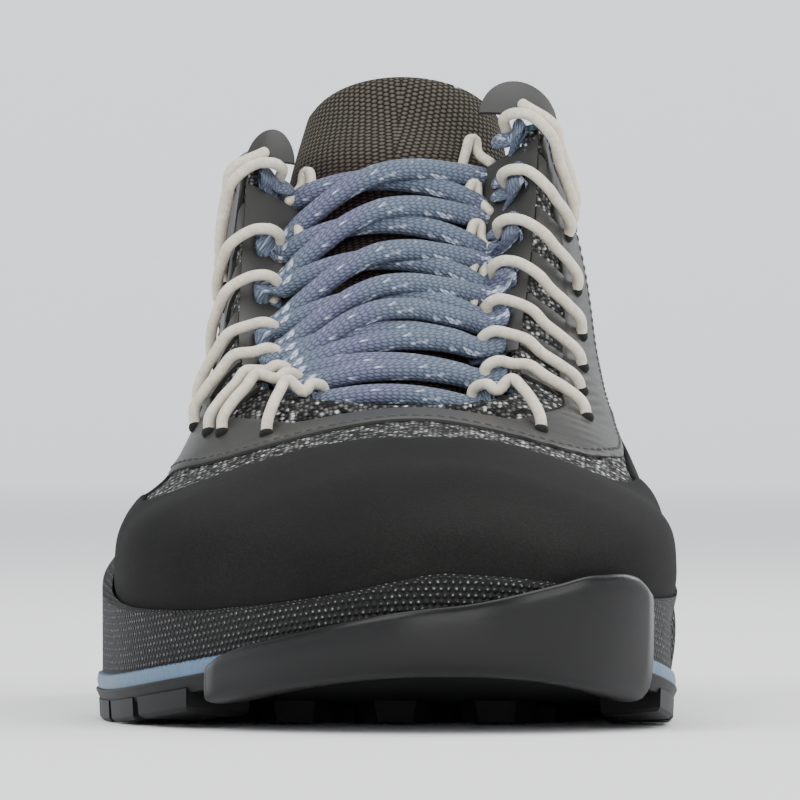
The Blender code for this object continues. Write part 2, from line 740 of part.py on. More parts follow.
def make_stripe(turns):
    """Thin foam layer between outsole and midsole, seen as a stripe."""
    foam = material("stripe_foam", (0.13, 0.24, 0.38), 0.6)
    base = sole_top(turns) + GAP
    columns = np.stack([edge_points(turns, EDGE, base), edge_points(turns, EDGE, base + STRIPE)], 1)
    add_object("sole_stripe", *ring_solid(columns), foam)


def make_midsole(turns):
    """Midsole cup: outer wall, rim, inner wall round the upper's foot, and floor."""
    base = sole_top(turns) + GAP + STRIPE + GAP
    rim = by_turn(RIM, turns)
    outside = RAND_SEAT + RAND + GAP
    inner_rim = upper_point(turns, height_at(turns, rim), outside)
    inner_foot = upper_point(turns, 0.0, outside)
    floor = board(along_at(turns)) - GAP
    inner_foot[:, 2] = floor
    lip = inner_rim.copy()
    outline = edge_points(turns, EDGE, rim)
    away = outline[:, :2] - inner_rim[:, :2]
    away /= np.linalg.norm(away, axis=1, keepdims=True) + 1e-9
    lip[:, :2] += away * RIM_LIP
    lip[:, 2] -= RIM_DROP
    low = edge_points(turns, EDGE, base)
    middle = low * 0.45 + edge_points(turns, EDGE, rim) * 0.55
    middle[:, :2] = low[:, :2] * 0.72 + lip[:, :2] * 0.28
    bulge = upper_point(turns, height_at(turns, middle[:, 2]), outside + RIM_LIP)
    wider = (np.abs(bulge[:, 0]) > np.abs(middle[:, 0])) & (along_at(turns) < SPRING_START)
    middle[wider, :2] = bulge[wider, :2]
    shares = height_at(turns, rim)
    walls = [upper_point(turns, np.minimum(level, shares), outside) for level in LEVELS[3:0:-1]]
    columns = np.stack([low, middle, lip, inner_rim, *walls, inner_foot], 1)
    joint = LENGTH / 2 - MIDSOLE_JOINT * LENGTH
    for name, colour, front in (
        ("midsole_heel", (0.085, 0.085, 0.085), False),
        ("midsole_front", (0.03, 0.03, 0.03), True),
    ):
        finish = material(name + "_foam", colour, 0.7)
        made = add_object(name, *ring_solid(columns), finish)
        cut_flat(made, joint - GAP / 2 if front else joint + GAP / 2, front)


def make_upper(turns):
    """Upper: one wall from the sole to the collar and throat, open beneath."""
    knit = material("upper_knit", (0.22, 0.22, 0.22), 0.85)
    outer = np.stack([upper_point(turns, share) for share in LEVELS], 1)
    inner = np.stack([upper_point(turns, share, -WALL) for share in LEVELS[::-1]], 1)
    inner[:, -1, 2] = outer[:, 0, 2]
    columns = np.concatenate([outer, inner], 1)
    shut = along_at(turns) >= THROAT_FRONT - 1e-6
    crest = len(LEVELS) - 1
    meet_at_ridge(columns, (crest, crest + 1), shut, len(turns))

    def closed(i, following):
        return shut[i] and shut[following]

    points, faces = join_columns(columns, True, (closed, crest))
    add_object("upper", points, faces, knit)


def make_band(name, turns, low, high, finish):
    """Overlay that stands proud of the upper between two heights round the shoe."""
    shares = [np.clip(level, low, high) for level in LEVELS]
    inner = np.stack([upper_point(turns, share, RAND_SEAT) for share in shares[::-1]], 1)
    outer = np.stack([upper_point(turns, share, RAND_SEAT + RAND) for share in shares], 1)
    columns = np.concatenate([outer, inner], 1)
    crest = len(LEVELS) - 1
    shut = high >= 1 - 1e-9
    meet_at_ridge(columns, (crest, crest + 1), shut, len(turns) - 1)

    def closed(i, following):
        return shut[i] and shut[following]

    points, faces = join_columns(columns, False, (closed, crest))
    return add_object(name, points, faces, finish)


def make_rand_and_wrap(turns):
    """Toe rand and heel wrap, which end a little apart at the middle of the foot."""
    start, end = turn_at(RAND_JOINT + 0.002, -1), turn_at(RAND_JOINT + 0.002, 1)
    front = between(turns, start, end)
    low = height_at(front, by_turn(RIM, front) + GAP)
    peak = along_at(front) >= RAND_PEAK - 1e-6
    fall = 1 - (RAND_PEAK - along_at(front)) / CAP_FALL
    high = np.where(peak, 1.0, np.maximum(fall, height_at(front, by_turn(RAND_TOP, front))))
    nubuck = material("rand_nubuck", (0.02, 0.02, 0.018), 0.8)
    make_band("toe_rand", front, low, high, nubuck)

    start, end = turn_at(RAND_JOINT - 0.002, 1), turn_at(RAND_JOINT - 0.002, -1)
    back = between(turns, start, end)
    low = height_at(back, by_turn(RIM, back) + GAP)
    high = height_at(back, by_turn(WRAP_TOP, back))
    film = material("wrap_film", (0.02, 0.02, 0.021), 0.5)
    make_band("heel_wrap", back, low, high, film)


def make_lining(turns):
    """Padded collar lining, inside the upper and rolled over its edge."""
    turns = between(turns, turn_at(THROAT_TOP, 1), turn_at(THROAT_TOP, -1))
    skin = -(WALL + GAP)
    length = np.linalg.norm(upper_point(turns, 1.0) - upper_point(turns, 0.5), axis=-1)
    foot = np.clip(1 - 0.5 * LINING_DEPTH / length, 0.36, 0.6)
    edge = np.ones(turns.shape)
    profile = [(np.clip(level, foot, 1), skin) for level in LEVELS]
    profile += [
        (past_edge(turns, GAP), skin),
        (past_edge(turns, GAP), -GAP),
        (past_edge(turns, LINING_ROLL * 0.6), GAP),
        (past_edge(turns, LINING_ROLL), -WALL * 0.6),
        (past_edge(turns, LINING_ROLL), skin - LINING * 0.35),
        (past_edge(turns, LINING_ROLL * 0.3), skin - LINING * 0.9),
        (edge - 0.07, skin - LINING),
        (edge * 0.78, skin - LINING),
        ((foot + 0.7) / 2, skin - LINING * 0.9),
        (foot, skin - LINING * 0.4),
    ]
    columns = np.stack([upper_point(turns, share, offset) for share, offset in profile], 1)
    cloth = material("lining_knit", (0.16, 0.26, 0.34), 0.9)
    add_object("collar_lining", *join_columns(columns, False), cloth)


def make_insole(turns):
    """Insole, lying on the midsole's floor inside the upper."""
    floor = board(along_at(turns))
    skin = -(WALL + 2 * GAP)
    foot = upper_point(turns, 0.0, skin)
    foot[:, 2] = floor
    rim = upper_point(turns, height_at(turns, floor + INSOLE), skin)
    rim[:, 2] = floor + INSOLE
    cloth = material("insole_cloth", (0.05, 0.045, 0.045), 0.9)
    add_object("insole", *ring_solid(np.stack([foot, rim], 1)), cloth)


def tongue_frame(at):
    """Centre, outward direction, half width and drop of the tongue's section, 0 front to 1 top."""
    places = np.linspace(0, 1, len(TONGUE_ROWS))
    rows = [(place, *row) for place, row in zip(places, TONGUE_ROWS)]
    half = BALL_WIDTH / 2

    def centre(value):
        return np.array([
            smooth(rows, value, 3) * half,
            LENGTH / 2 - smooth(rows, value, 1) * LENGTH,
            smooth(rows, value, 2) * TONGUE_HEIGHT / 0.1125,
        ])

    step = 1e-3
    tangent = centre(min(at + step, 1)) - centre(max(at - step, 0))
    tangent /= np.linalg.norm(tangent)
    outward = np.cross((1.0, 0.0, 0.0), tangent)
    if outward[2] < 0:
        outward = -outward
    return centre(at), outward, float(smooth(rows, at, 4)) * half, float(smooth(rows, at, 5)) * half


def tongue_point(at, across, out=0.0):
    """Point of the tongue's outer face, across from -1 lateral to 1 medial."""
    centre, outward, half_width, drop = tongue_frame(at)
    angle = across * TONGUE_SWEEP
    reach = np.sin(angle) / math.sin(TONGUE_SWEEP) * half_width
    fall = (1 - np.cos(angle)) / (1 - math.cos(TONGUE_SWEEP)) * drop
    flat = np.array((1.0, 0.0, 0.0))
    slope = np.array((half_width / math.sin(TONGUE_SWEEP) * np.cos(angle),
                      drop / (1 - math.cos(TONGUE_SWEEP)) * np.sin(angle)))
    slope /= np.linalg.norm(slope)
    normal = flat * slope[1] + outward * slope[0]
    return centre + flat * reach - outward * fall + normal * out


def make_tongue():
    """Padded tongue, under the throat's edges and up past the collar."""
    cloth = material("tongue_mesh", (0.07, 0.06, 0.052), 0.9)
    columns = []
    for at in np.linspace(0, 1, 15):
        outer = [tongue_point(at, across) for across in np.linspace(-1, 1, 11)]
        thick = TONGUE * (0.45 + 0.55 * math.sin(math.pi * min(at * 1.1, 1) * 0.5))
        inner = [
            tongue_point(at, across, -thick * (1 - 0.7 * abs(across) ** 6))
            for across in np.linspace(1, -1, 11)
        ]
        columns.append(outer + inner)
    add_object("tongue", *join_columns(np.array(columns), False), cloth)


def eyelet(side, number):
    """Place where a lace turns round its eyelet, just past the throat's edge."""
    turn = turn_at(EYELETS[side][number], side)
    depth = WALL * (1.3 - 0.9 * number / (len(EYELETS[side]) - 1))
    return upper_point(turn, past_edge(turn, LACE / 2 + 4 * GAP), -depth)


def tongue_at(point):
    """Place along the tongue whose section passes through a point."""
    best = min(
        np.linspace(0.05, 0.95, 91),
        key=lambda at: abs(np.dot(point - tongue_frame(at)[0], np.cross(tongue_frame(at)[1], (1.0, 0.0, 0.0)))),
    )
    return float(best)


def lace_path(lateral, medial):
    """Route of one strand across the throat, over the tongue."""
    out = LACE / 2 + 2 * GAP + STRAND_RISE
    first, last = eyelet(-1, lateral), eyelet(1, medial)
    start, end = tongue_at(first), tongue_at(last)
    route = [first]
    for share in (0.25, 0.5, 0.75):
        at = start + (end - start) * share
        route.append(tongue_point(at, (share - 0.5) * 1.6, out))
    return smooth_path(route + [last], 7)


def make_laces():
    """Lace strands across the throat, joined where they cross and at the eyelets."""
    cord = material("lace_cord", (0.2, 0.28, 0.42), 0.8)
    add_object("lace_bar", *tube(lace_path(*STRANDS[0]), LACE / 2, 6), cord)
    base = add_object("laces", *tube(lace_path(*STRANDS[1]), LACE / 2, 6), cord)
    for number, (lateral, medial) in enumerate(STRANDS[2:]):
        route = lace_path(lateral, medial)
        guide = add_object("lace_guide_%02d" % number, *tube(route, LACE / 2, 6), cord)
        guide.hide_render = True
        guide.display_type = "WIRE"
        union = base.modifiers.new(guide.name, "BOOLEAN")
        union.operation = "UNION"
        union.object = guide
        union.solver = "EXACT"


def make_eye_cords():
    """Cord loops that hold the lace, one for each eyelet, lying on the upper."""
    cord = material("eye_cord", (0.74, 0.7, 0.6), 0.75)
    out = EYE_CORD / 2 + 2 * GAP
    for side, letter in ((-1, "l"), (1, "m")):
        for number, along in enumerate(EYELETS[side]):
            turn = turn_at(along, side)
            reach = EYE_CORD_TOP if number == 0 else EYE_CORD_REACH
            start = EYELET_INSET
            lean = EYE_CORD_LEAN * reach / EYE_CORD_REACH
            path = []
            for k in range(6):
                share = past_edge(turn, -(start + (reach - start) * k / 5))
                shift = -side * lean * k / 5
                path.append(upper_point(turn + shift, share, out))
            name = "lace_cord_%s%d" % (letter, number + 1)
            add_object(name, *tube(np.array(path), EYE_CORD / 2, 5), cord)


def make_pull_loop():
    """Pull loop at the heel: two cord ends with beads, and a sleeve over the bend."""
    cord = material("eye_cord", (0.74, 0.7, 0.6), 0.75)
    sleeve = material("sleeve_gloss", (0.012, 0.012, 0.012), 0.2)
    back = LENGTH / 2 - UPPER_HEEL_INSET
    radius = LOOP_CORD / 2 + GAP + SLEEVE_WALL
    arch = []
    for side in (-1, -0.55, 0, 0.55, 1):
        lift = (1 - abs(side) ** 2.2) * LOOP_RISE
        arch.append((side * LOOP_SLEEVE, back + LOOP_STAND, LOOP_TOP - LOOP_RISE + lift))
    bend = smooth_path(arch, 11)
    add_object("pull_loop_sleeve", *tube(bend, radius, 8, LOOP_CORD / 2 + GAP), sleeve)
    away = (bend[-1] - bend[-2]) / np.linalg.norm(bend[-1] - bend[-2])
    for side, name in ((-1, "lateral"), (1, "medial")):
        turn = 0.0 if side < 0 else 2.0
        reach = turn - side * LOOP_BEAD_TURN
        share = float(height_at(reach, LOOP_BEAD_Z))
        seat = upper_point(reach, share, GAP)
        crown = upper_point(reach, share, GAP + LOOP_BEAD_HIGH)
        steps = [seat + (crown - seat) * k for k in (0, 0.5, 1)]
        add_object("pull_loop_bead_" + name, *tube(np.array(steps), LOOP_BEAD / 2, 12), cord)
        top = crown + (crown - seat) / LOOP_BEAD_HIGH * (GAP + LOOP_CORD / 2)
        route = [
            top + np.array((0, 0, -LOOP_BEAD * 0.2)),
            top + np.array((side * 0.0020, 0.0006, 0.0030)),
            (side * LOOP_BULGE, back + LOOP_STAND, LOOP_BULGE_Z),
            (bend[-1] + away * GAP) * (side, 1, 1),
        ]
        add_object("pull_loop_cord_" + name, *tube(smooth_path(route, 9), LOOP_CORD / 2, 7), cord)


def main():
    """Clears the scene and makes every piece."""
    for old in list(bpy.data.objects):
        bpy.data.objects.remove(old, do_unlink=True)
    turns = shoe_turns()
    make_outsole(turns)
    make_stripe(turns)
    make_midsole(turns)
    make_upper(turns)
    make_rand_and_wrap(turns)
    make_lining(turns)
    make_insole(turns)
    make_tongue()
    make_laces()
    make_eye_cords()
    make_pull_loop()


main()
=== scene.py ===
"""Approach shoe for the right foot: the finished look, built round its CAD frame.

The toe points to -Y, the inner (medial) side is +X, and the floor is Z = 0.
"""

import math

import bmesh
import bpy
import numpy as np
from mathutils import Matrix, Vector
from mathutils.bvhtree import BVHTree


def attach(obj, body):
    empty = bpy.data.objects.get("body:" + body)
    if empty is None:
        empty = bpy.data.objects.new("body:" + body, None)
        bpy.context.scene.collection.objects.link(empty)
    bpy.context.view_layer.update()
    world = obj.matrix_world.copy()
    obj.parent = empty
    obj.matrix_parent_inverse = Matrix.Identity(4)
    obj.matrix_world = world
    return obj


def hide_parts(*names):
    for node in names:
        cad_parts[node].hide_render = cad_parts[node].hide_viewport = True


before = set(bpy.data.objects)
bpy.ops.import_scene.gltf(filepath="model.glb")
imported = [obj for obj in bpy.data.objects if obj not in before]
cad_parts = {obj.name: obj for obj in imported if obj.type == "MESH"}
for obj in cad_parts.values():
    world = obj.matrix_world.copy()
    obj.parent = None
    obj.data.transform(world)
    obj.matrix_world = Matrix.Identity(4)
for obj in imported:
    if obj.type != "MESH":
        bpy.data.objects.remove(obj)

bl_info = {
    "name": "Approach Shoe",
    "version": (1, 0, 0),
    "blender": (4, 5, 0),
    "location": "View3D > Sidebar > Shoe",
    "description": "Knit, films, laces, sole and stage of an approach shoe",
    "category": "Object",
}

# Overall sizes, in metres
LENGTH = 0.272
BALL_WIDTH = 0.100
HEEL_WIDTH = 0.078
COLLAR_HEIGHT = 0.0955
TONGUE_HEIGHT = 0.1125
HEEL_STACK = 0.023
BALL_STACK = 0.014
TOE_SPRING = 0.009
HEEL_BEVEL = 0.012
ARCH_LIFT = 0.002

# Distance under which points are one, and walls, layers and clearances
MERGE = 0.00002
GAP = 0.0003
WALL = 0.0022
RAND = 0.0012
RAND_SEAT = 0.0007
STRIPE = 0.0021
INSOLE = 0.0030
LINING = 0.0038
LINING_ROLL = 0.0024
LINING_DEPTH = 0.042
TONGUE = 0.0052
PLATE = 0.0026
EDGE = 0.0012
WRAP_PROUD = 0.0010
RIM_LIP = 0.0018
LACE = 0.0046
LOOP_CORD = 0.0026
SLEEVE_WALL = 0.0007

# Tread: flat under heel and ball, raised at heel, arch and toe
TREAD = 0.0028
LUG_SINK = 0.0008
LUG_GAP = 0.0022
LUG_PITCH = 0.0165
LUG_SIZE = 0.0140
LUG_FIELD = (0.075, 0.86)
EDGE_LUGS = 13
EDGE_LUG_SPAN = (0.055, 0.905)
EDGE_LUG_DEPTH = 0.0120
HEEL_BEVEL_END = 0.14
SPRING_START = 0.74
ARCH = (0.32, 0.52)
RIM_DROP = 0.0006

# How far bands reach below the midsole's rim, and layers of the sole under each other
RIM_LAP = 0.0015
LAYER_LAP = 0.004

# Tongue's bend across, in radians, and the cords
TONGUE_SWEEP = 1.35
LOOP_TOP = 0.0958
LOOP_RISE = 0.0042
LOOP_SLEEVE = 0.0145
LOOP_STAND = -0.0012
LOOP_BULGE = 0.0178
LOOP_BULGE_Z = 0.0870
LOOP_BEAD_HIGH = 0.0016
LOOP_BEAD_TURN = 0.078
LOOP_BEAD_Z = 0.0780

# How far the upper stands inside the sole
UPPER_HEEL_INSET = 0.0075
UPPER_TOE_INSET = 0.0060

# Where the upper's parts end, as shares of LENGTH
THROAT_FRONT = 0.660
THROAT_ROUND = 0.070
THROAT_TOP = 0.415
MIDSOLE_JOINT = 0.435
RAND_JOINT = 0.50
JOINT_HALF = 0.002
RAND_PEAK = 0.822
CAP_FALL = 0.22


# Sole outline: a row for each section, half widths as shares of half BALL_WIDTH
# Columns: along, lateral, medial, centre
SOLE = (
    (0.00, 0.760, 0.750, 0.000),
    (0.08, 0.776, 0.764, 0.000),
    (0.16, 0.790, 0.770, 0.000),
    (0.26, 0.790, 0.735, 0.000),
    (0.36, 0.800, 0.680, 0.000),
    (0.46, 0.850, 0.690, 0.000),
    (0.56, 0.945, 0.810, 0.000),
    (0.64, 1.000, 0.930, 0.000),
    (0.71, 0.990, 0.990, 0.005),
    (0.78, 0.950, 0.955, 0.030),
    (0.86, 0.900, 0.925, 0.100),
    (0.93, 0.840, 0.880, 0.180),
    (1.00, 0.780, 0.800, 0.240),
)
HEEL_ROUND = 0.145
TOE_ROUND = 0.215
TOE_BLUNT = 2.3

# Upper sections: half widths as shares of half BALL_WIDTH, heights above the board
# as shares of the collar's rise, and the slope of the wall at its upper edge in degrees
SECTION_COLUMNS = ("along", "base", "belly", "belly_z", "side", "side_z", "edge", "edge_z", "slope")
LATERAL = (
    (0.00, 0.55, 0.61, 0.26, 0.48, 0.73, 0.34, 0.990, 92),
    (0.06, 0.57, 0.62, 0.26, 0.51, 0.72, 0.39, 0.955, 90),
    (0.12, 0.58, 0.63, 0.26, 0.55, 0.66, 0.47, 0.875, 90),
    (0.20, 0.59, 0.64, 0.26, 0.59, 0.58, 0.56, 0.785, 88),
    (0.27, 0.59, 0.65, 0.28, 0.62, 0.56, 0.595, 0.765, 86),
    (0.34, 0.60, 0.67, 0.32, 0.645, 0.63, 0.60, 0.870, 84),
    (0.385, 0.62, 0.68, 0.34, 0.64, 0.69, 0.57, 1.030, 82),
    (0.42, 0.64, 0.69, 0.34, 0.62, 0.66, 0.50, 1.105, 78),
    (0.46, 0.66, 0.72, 0.29, 0.62, 0.60, 0.49, 0.930, 62),
    (0.50, 0.69, 0.76, 0.23, 0.64, 0.54, 0.49, 0.780, 50),
    (0.58, 0.79, 0.86, 0.17, 0.72, 0.42, 0.46, 0.625, 30),
    (0.66, 0.85, 0.90, 0.165, 0.75, 0.365, 0.44, 0.545, 0),
    (0.74, 0.84, 0.89, 0.155, 0.745, 0.325, 0.33, 0.500, 0),
    (0.82, 0.82, 0.865, 0.145, 0.72, 0.300, 0.33, 0.450, 0),
    (0.90, 0.79, 0.83, 0.120, 0.68, 0.240, 0.33, 0.355, 0),
    (1.00, 0.75, 0.79, 0.070, 0.62, 0.140, 0.33, 0.200, 0),
)
MEDIAL = (
    (0.00, 0.55, 0.61, 0.26, 0.48, 0.73, 0.34, 0.990, 92),
    (0.06, 0.57, 0.62, 0.26, 0.51, 0.73, 0.39, 0.965, 90),
    (0.12, 0.58, 0.63, 0.26, 0.55, 0.68, 0.47, 0.905, 90),
    (0.20, 0.59, 0.64, 0.27, 0.59, 0.62, 0.56, 0.840, 88),
    (0.27, 0.58, 0.655, 0.32, 0.62, 0.62, 0.595, 0.840, 86),
    (0.34, 0.58, 0.69, 0.38, 0.655, 0.68, 0.60, 0.935, 84),
    (0.385, 0.59, 0.72, 0.41, 0.67, 0.73, 0.58, 1.085, 82),
    (0.42, 0.61, 0.745, 0.40, 0.67, 0.71, 0.53, 1.170, 78),
    (0.46, 0.63, 0.77, 0.34, 0.68, 0.64, 0.52, 0.985, 62),
    (0.50, 0.66, 0.80, 0.28, 0.70, 0.58, 0.50, 0.820, 50),
    (0.58, 0.75, 0.87, 0.21, 0.77, 0.46, 0.47, 0.635, 30),
    (0.66, 0.86, 0.915, 0.185, 0.81, 0.385, 0.44, 0.545, 0),
    (0.74, 0.89, 0.935, 0.170, 0.815, 0.340, 0.33, 0.500, 0),
    (0.82, 0.87, 0.915, 0.155, 0.79, 0.310, 0.33, 0.450, 0),
    (0.90, 0.83, 0.87, 0.125, 0.74, 0.250, 0.33, 0.355, 0),
    (1.00, 0.78, 0.82, 0.070, 0.66, 0.140, 0.33, 0.200, 0),
)
# Middle of the throat and of the toe, as shares of half BALL_WIDTH
RIDGE = (
    (0.00, 0.000),
    (0.30, 0.000),
    (0.40, -0.030),
    (0.50, -0.045),
    (0.58, -0.040),
    (0.62, 0.020),
    (0.66, 0.080),
    (0.74, 0.110),
    (0.86, 0.180),
    (1.00, 0.240),
)
UPPER_CENTRE = ((0.00, 0.0), (0.70, 0.0), (0.78, 0.030), (0.86, 0.090), (0.93, 0.165), (1.00, 0.240))
UPPER_HEEL_ROUND = 0.135
UPPER_TOE_ROUND = 0.230
NOSE_ROUND = 0.100
NOSE = 0.100
BELLY_AT, SIDE_AT = 0.22, 0.60

# Back seam: how far it lies forward of the rearmost point, at shares of the collar's rise
HEEL_CURVE = ((0.0, 0.0016), (0.28, 0.0), (0.60, 0.0036), (0.80, 0.0058), (1.05, 0.0036))
HEEL_CURVE_END = 0.30

# Lines round the shoe: a row for each turn from heel (0) to toe (1), heights in metres
SOLE_TOP = (
    (0.000, 0.0188),
    (0.040, 0.0186),
    (0.074, 0.0159),
    (0.099, 0.0129),
    (0.159, 0.0077),
    (0.248, 0.0054),
    (1.000, 0.0054),
)
# Columns: turn, lateral, medial
RIM = (
    (0.000, 0.0548, 0.0548),
    (0.033, 0.0545, 0.0545),
    (0.055, 0.0480, 0.0480),
    (0.083, 0.0445, 0.0445),
    (0.125, 0.0420, 0.0420),
    (0.200, 0.0365, 0.0370),
    (0.320, 0.0360, 0.0370),
    (0.420, 0.0385, 0.0400),
    (0.460, 0.0385, 0.0400),
    (0.520, 0.0325, 0.0345),
    (0.580, 0.0265, 0.0290),
    (0.640, 0.0225, 0.0250),
    (0.700, 0.0205, 0.0225),
    (0.780, 0.0200, 0.0220),
    (0.860, 0.0212, 0.0232),
    (0.930, 0.0232, 0.0250),
    (1.000, 0.0262, 0.0262),
)
RAND_TOP = (
    (0.500, 0.0470, 0.0490),
    (0.540, 0.0430, 0.0455),
    (0.580, 0.0395, 0.0425),
    (0.620, 0.0368, 0.0400),
    (0.655, 0.0365, 0.0400),
    (0.680, 0.0370, 0.0410),
)
WRAP_TOP = (
    (0.000, 0.0756, 0.0756),
    (0.060, 0.0740, 0.0740),
    (0.140, 0.0680, 0.0680),
    (0.220, 0.0630, 0.0640),
    (0.320, 0.0585, 0.0600),
    (0.420, 0.0535, 0.0550),
    (0.500, 0.0470, 0.0490),
)

# Smooth toe of the outsole: how high it wraps up, from the lateral edge to the medial edge
BUMPER_SPAN = (0.812, 1.186)
BUMPER_RISE = (
    (0.810, 0.0100),
    (0.830, 0.0128),
    (0.880, 0.0158),
    (0.960, 0.0195),
    (1.020, 0.0215),
    (1.080, 0.0242),
    (1.120, 0.0258),
    (1.160, 0.0255),
    (1.186, 0.0222),
)

# Tongue: a row for each section, front to top, with the height that it was drawn for
TONGUE_DRAWN = 0.1125
# Columns: along, crest's height, centre, half width, drop
TONGUE_ROWS = (
    (0.715, 0.0440, 0.10, 0.30, 0.10),
    (0.665, 0.0482, 0.06, 0.36, 0.13),
    (0.620, 0.0538, 0.00, 0.38, 0.16),
    (0.580, 0.0625, -0.04, 0.40, 0.20),
    (0.540, 0.0700, -0.045, 0.41, 0.26),
    (0.500, 0.0780, -0.045, 0.42, 0.30),
    (0.460, 0.0865, -0.04, 0.43, 0.32),
    (0.430, 0.0940, -0.03, 0.43, 0.32),
    (0.400, 0.1025, -0.01, 0.41, 0.30),
    (0.372, 0.1125, 0.00, 0.36, 0.26),
)

# Eyelets on the throat's edge, top to front, as shares of LENGTH
EYELETS = {
    -1: (0.440, 0.470, 0.498, 0.542, 0.575, 0.600, 0.612, 0.631),
    1: (0.430, 0.452, 0.476, 0.500, 0.530, 0.562, 0.598, 0.633),
}
# Lace strands, as eyelet numbers lateral and medial, front to top
STRANDS = (
    (7, 7), (6, 6), (5, 6), (5, 5), (4, 5), (5, 4), (3, 4), (4, 3),
    (2, 3), (3, 2), (1, 2), (2, 1), (0, 1), (1, 0),
)


def eased(t, h, first, last, leaving, arriving):
    """Smooth curve between two values, a step h apart, with a slope at each."""
    return (
        (2 * t**3 - 3 * t**2 + 1) * first
        + (t**3 - 2 * t**2 + t) * h * leaving
        + (3 * t**2 - 2 * t**3) * last
        + (t**3 - t**2) * h * arriving
    )


def smooth(rows, at, column=1):
    """Value of a table's column at a share of the length, through a smooth curve."""
    xs = np.array([row[0] for row in rows], float)
    ys = np.array([row[column] for row in rows], float)
    at = np.clip(np.asarray(at, float), xs[0], xs[-1])
    secants = np.diff(ys) / np.diff(xs)
    slopes = np.concatenate(([secants[0]], (secants[:-1] + secants[1:]) / 2, [secants[-1]]))
    flat = np.concatenate(([False], secants[:-1] * secants[1:] <= 0, [False]))
    slopes[flat] = 0.0
    i = np.clip(np.searchsorted(xs, at, side="right") - 1, 0, len(xs) - 2)
    h = xs[i + 1] - xs[i]
    return eased((at - xs[i]) / h, h, ys[i], ys[i + 1], slopes[i], slopes[i + 1])


def rounding(along, heel, toe):
    """1 along the shoe's middle, falling to 0 as an ellipse does, and more bluntly at the toe."""
    back = np.clip(1 - np.asarray(along, float) / heel, 0, 1)
    front = np.clip(1 - (1 - np.asarray(along, float)) / toe, 0, 1)
    blunt = (1 - front**TOE_BLUNT) ** (1 / TOE_BLUNT)
    return np.sqrt(1 - back**2) * blunt


def rise_of_toe(along):
    """How far the toe's spring lifts the sole."""
    return TOE_SPRING * np.clip((np.asarray(along, float) - SPRING_START) / (1 - SPRING_START), 0, 1) ** 2


def board(along):
    """Height of the board that the upper and the insole stand on."""
    step = smooth(((0.0, 1.0), (0.18, 1.0), (0.62, 0.0), (1.0, 0.0)), along)
    return BALL_STACK + (HEEL_STACK - BALL_STACK) * step + rise_of_toe(along)


def sole_edge(along, side, inset=0.0):
    """Point of the sole's outline, side +1 medial or -1 lateral, set in by a distance."""
    along = np.asarray(along, float)
    half = BALL_WIDTH / 2
    heel_scale = HEEL_WIDTH / (0.78 * BALL_WIDTH)
    widen = 1 + (heel_scale - 1) * np.clip(1 - along / 0.4, 0, 1)
    width = smooth(SOLE, along, 2 if side > 0 else 1) * half * widen - inset
    x = smooth(SOLE, along, 3) * half + side * width * rounding(along, HEEL_ROUND, TOE_ROUND)
    y = LENGTH / 2 - inset - along * (LENGTH - WRAP_PROUD - 2 * inset)
    return x, y


def upper_section(along, side, height):
    """Half width and height above the board at a share of the wall, from base (0) to edge (1)."""
    rows = MEDIAL if side > 0 else LATERAL
    half, rise = BALL_WIDTH / 2, COLLAR_HEIGHT - HEEL_STACK
    value = {name: smooth(rows, along, k) for k, name in enumerate(SECTION_COLUMNS) if k}
    centre = smooth(UPPER_CENTRE, along)
    ridge = smooth(RIDGE, along)
    opening = np.clip((along - (THROAT_FRONT - THROAT_ROUND)) / THROAT_ROUND, 0, 1)
    edge = value["edge"] * np.sqrt(np.clip(1 - opening**2, 0, 1))
    other = smooth(LATERAL if side > 0 else MEDIAL, along, SECTION_COLUMNS.index("edge_z"))
    value["edge_z"] = value["edge_z"] + (other - value["edge_z"]) * opening**2 / 2
    round_plan = rounding(along, UPPER_HEEL_ROUND, UPPER_TOE_ROUND)
    nose = np.sqrt(np.clip(1 - np.clip(1 - (1 - along) / NOSE_ROUND, 0, 1) ** 2, 0, 1))
    nose_z = NOSE + (value["edge_z"] - NOSE) * nose
    lower = np.where(along > 1 - NOSE_ROUND, nose_z / value["edge_z"], 1.0)
    # Points of the section, as x from the shoe's axis and z above the board
    xs = [
        centre + side * value["base"] * round_plan,
        centre + side * value["belly"] * round_plan,
        centre + side * value["side"] * round_plan,
        ridge + side * edge * round_plan,
    ]
    zs = [0 * along, value["belly_z"] * lower, value["side_z"] * lower, nose_z]
    angle = np.radians(value["slope"])
    reach = np.hypot(xs[3] - xs[2], zs[3] - zs[2])
    knots = (0.0, BELLY_AT, SIDE_AT, 1.0)
    above = 1 - SIDE_AT
    mx = [
        (xs[1] - xs[0]) / BELLY_AT,
        0 * along,
        (xs[3] - xs[1]) / (1 - BELLY_AT),
        -side * np.cos(angle) * reach / above,
    ]
    mz = [
        (zs[1] - zs[0]) / BELLY_AT,
        (zs[2] - zs[0]) / SIDE_AT,
        (zs[3] - zs[1]) / (1 - BELLY_AT),
        np.sin(angle) * reach / above,
    ]
    height = np.asarray(height, float)
    x, z = 0 * height * along, 0 * height * along
    for k in range(3):
        h = knots[k + 1] - knots[k]
        inside = (height >= knots[k]) & ((height < knots[k + 1]) | (k == 2))
        t = (np.clip(height, knots[k], 1.0) - knots[k]) / h
        beyond = np.clip(height - 1, 0, None)
        px = eased(t, h, xs[k], xs[k + 1], mx[k], mx[k + 1]) + beyond * mx[3]
        pz = eased(t, h, zs[k], zs[k + 1], mz[k], mz[k + 1]) + beyond * mz[3]
        x, z = np.where(inside, px, x), np.where(inside, pz, z)
    return x * half, z * rise


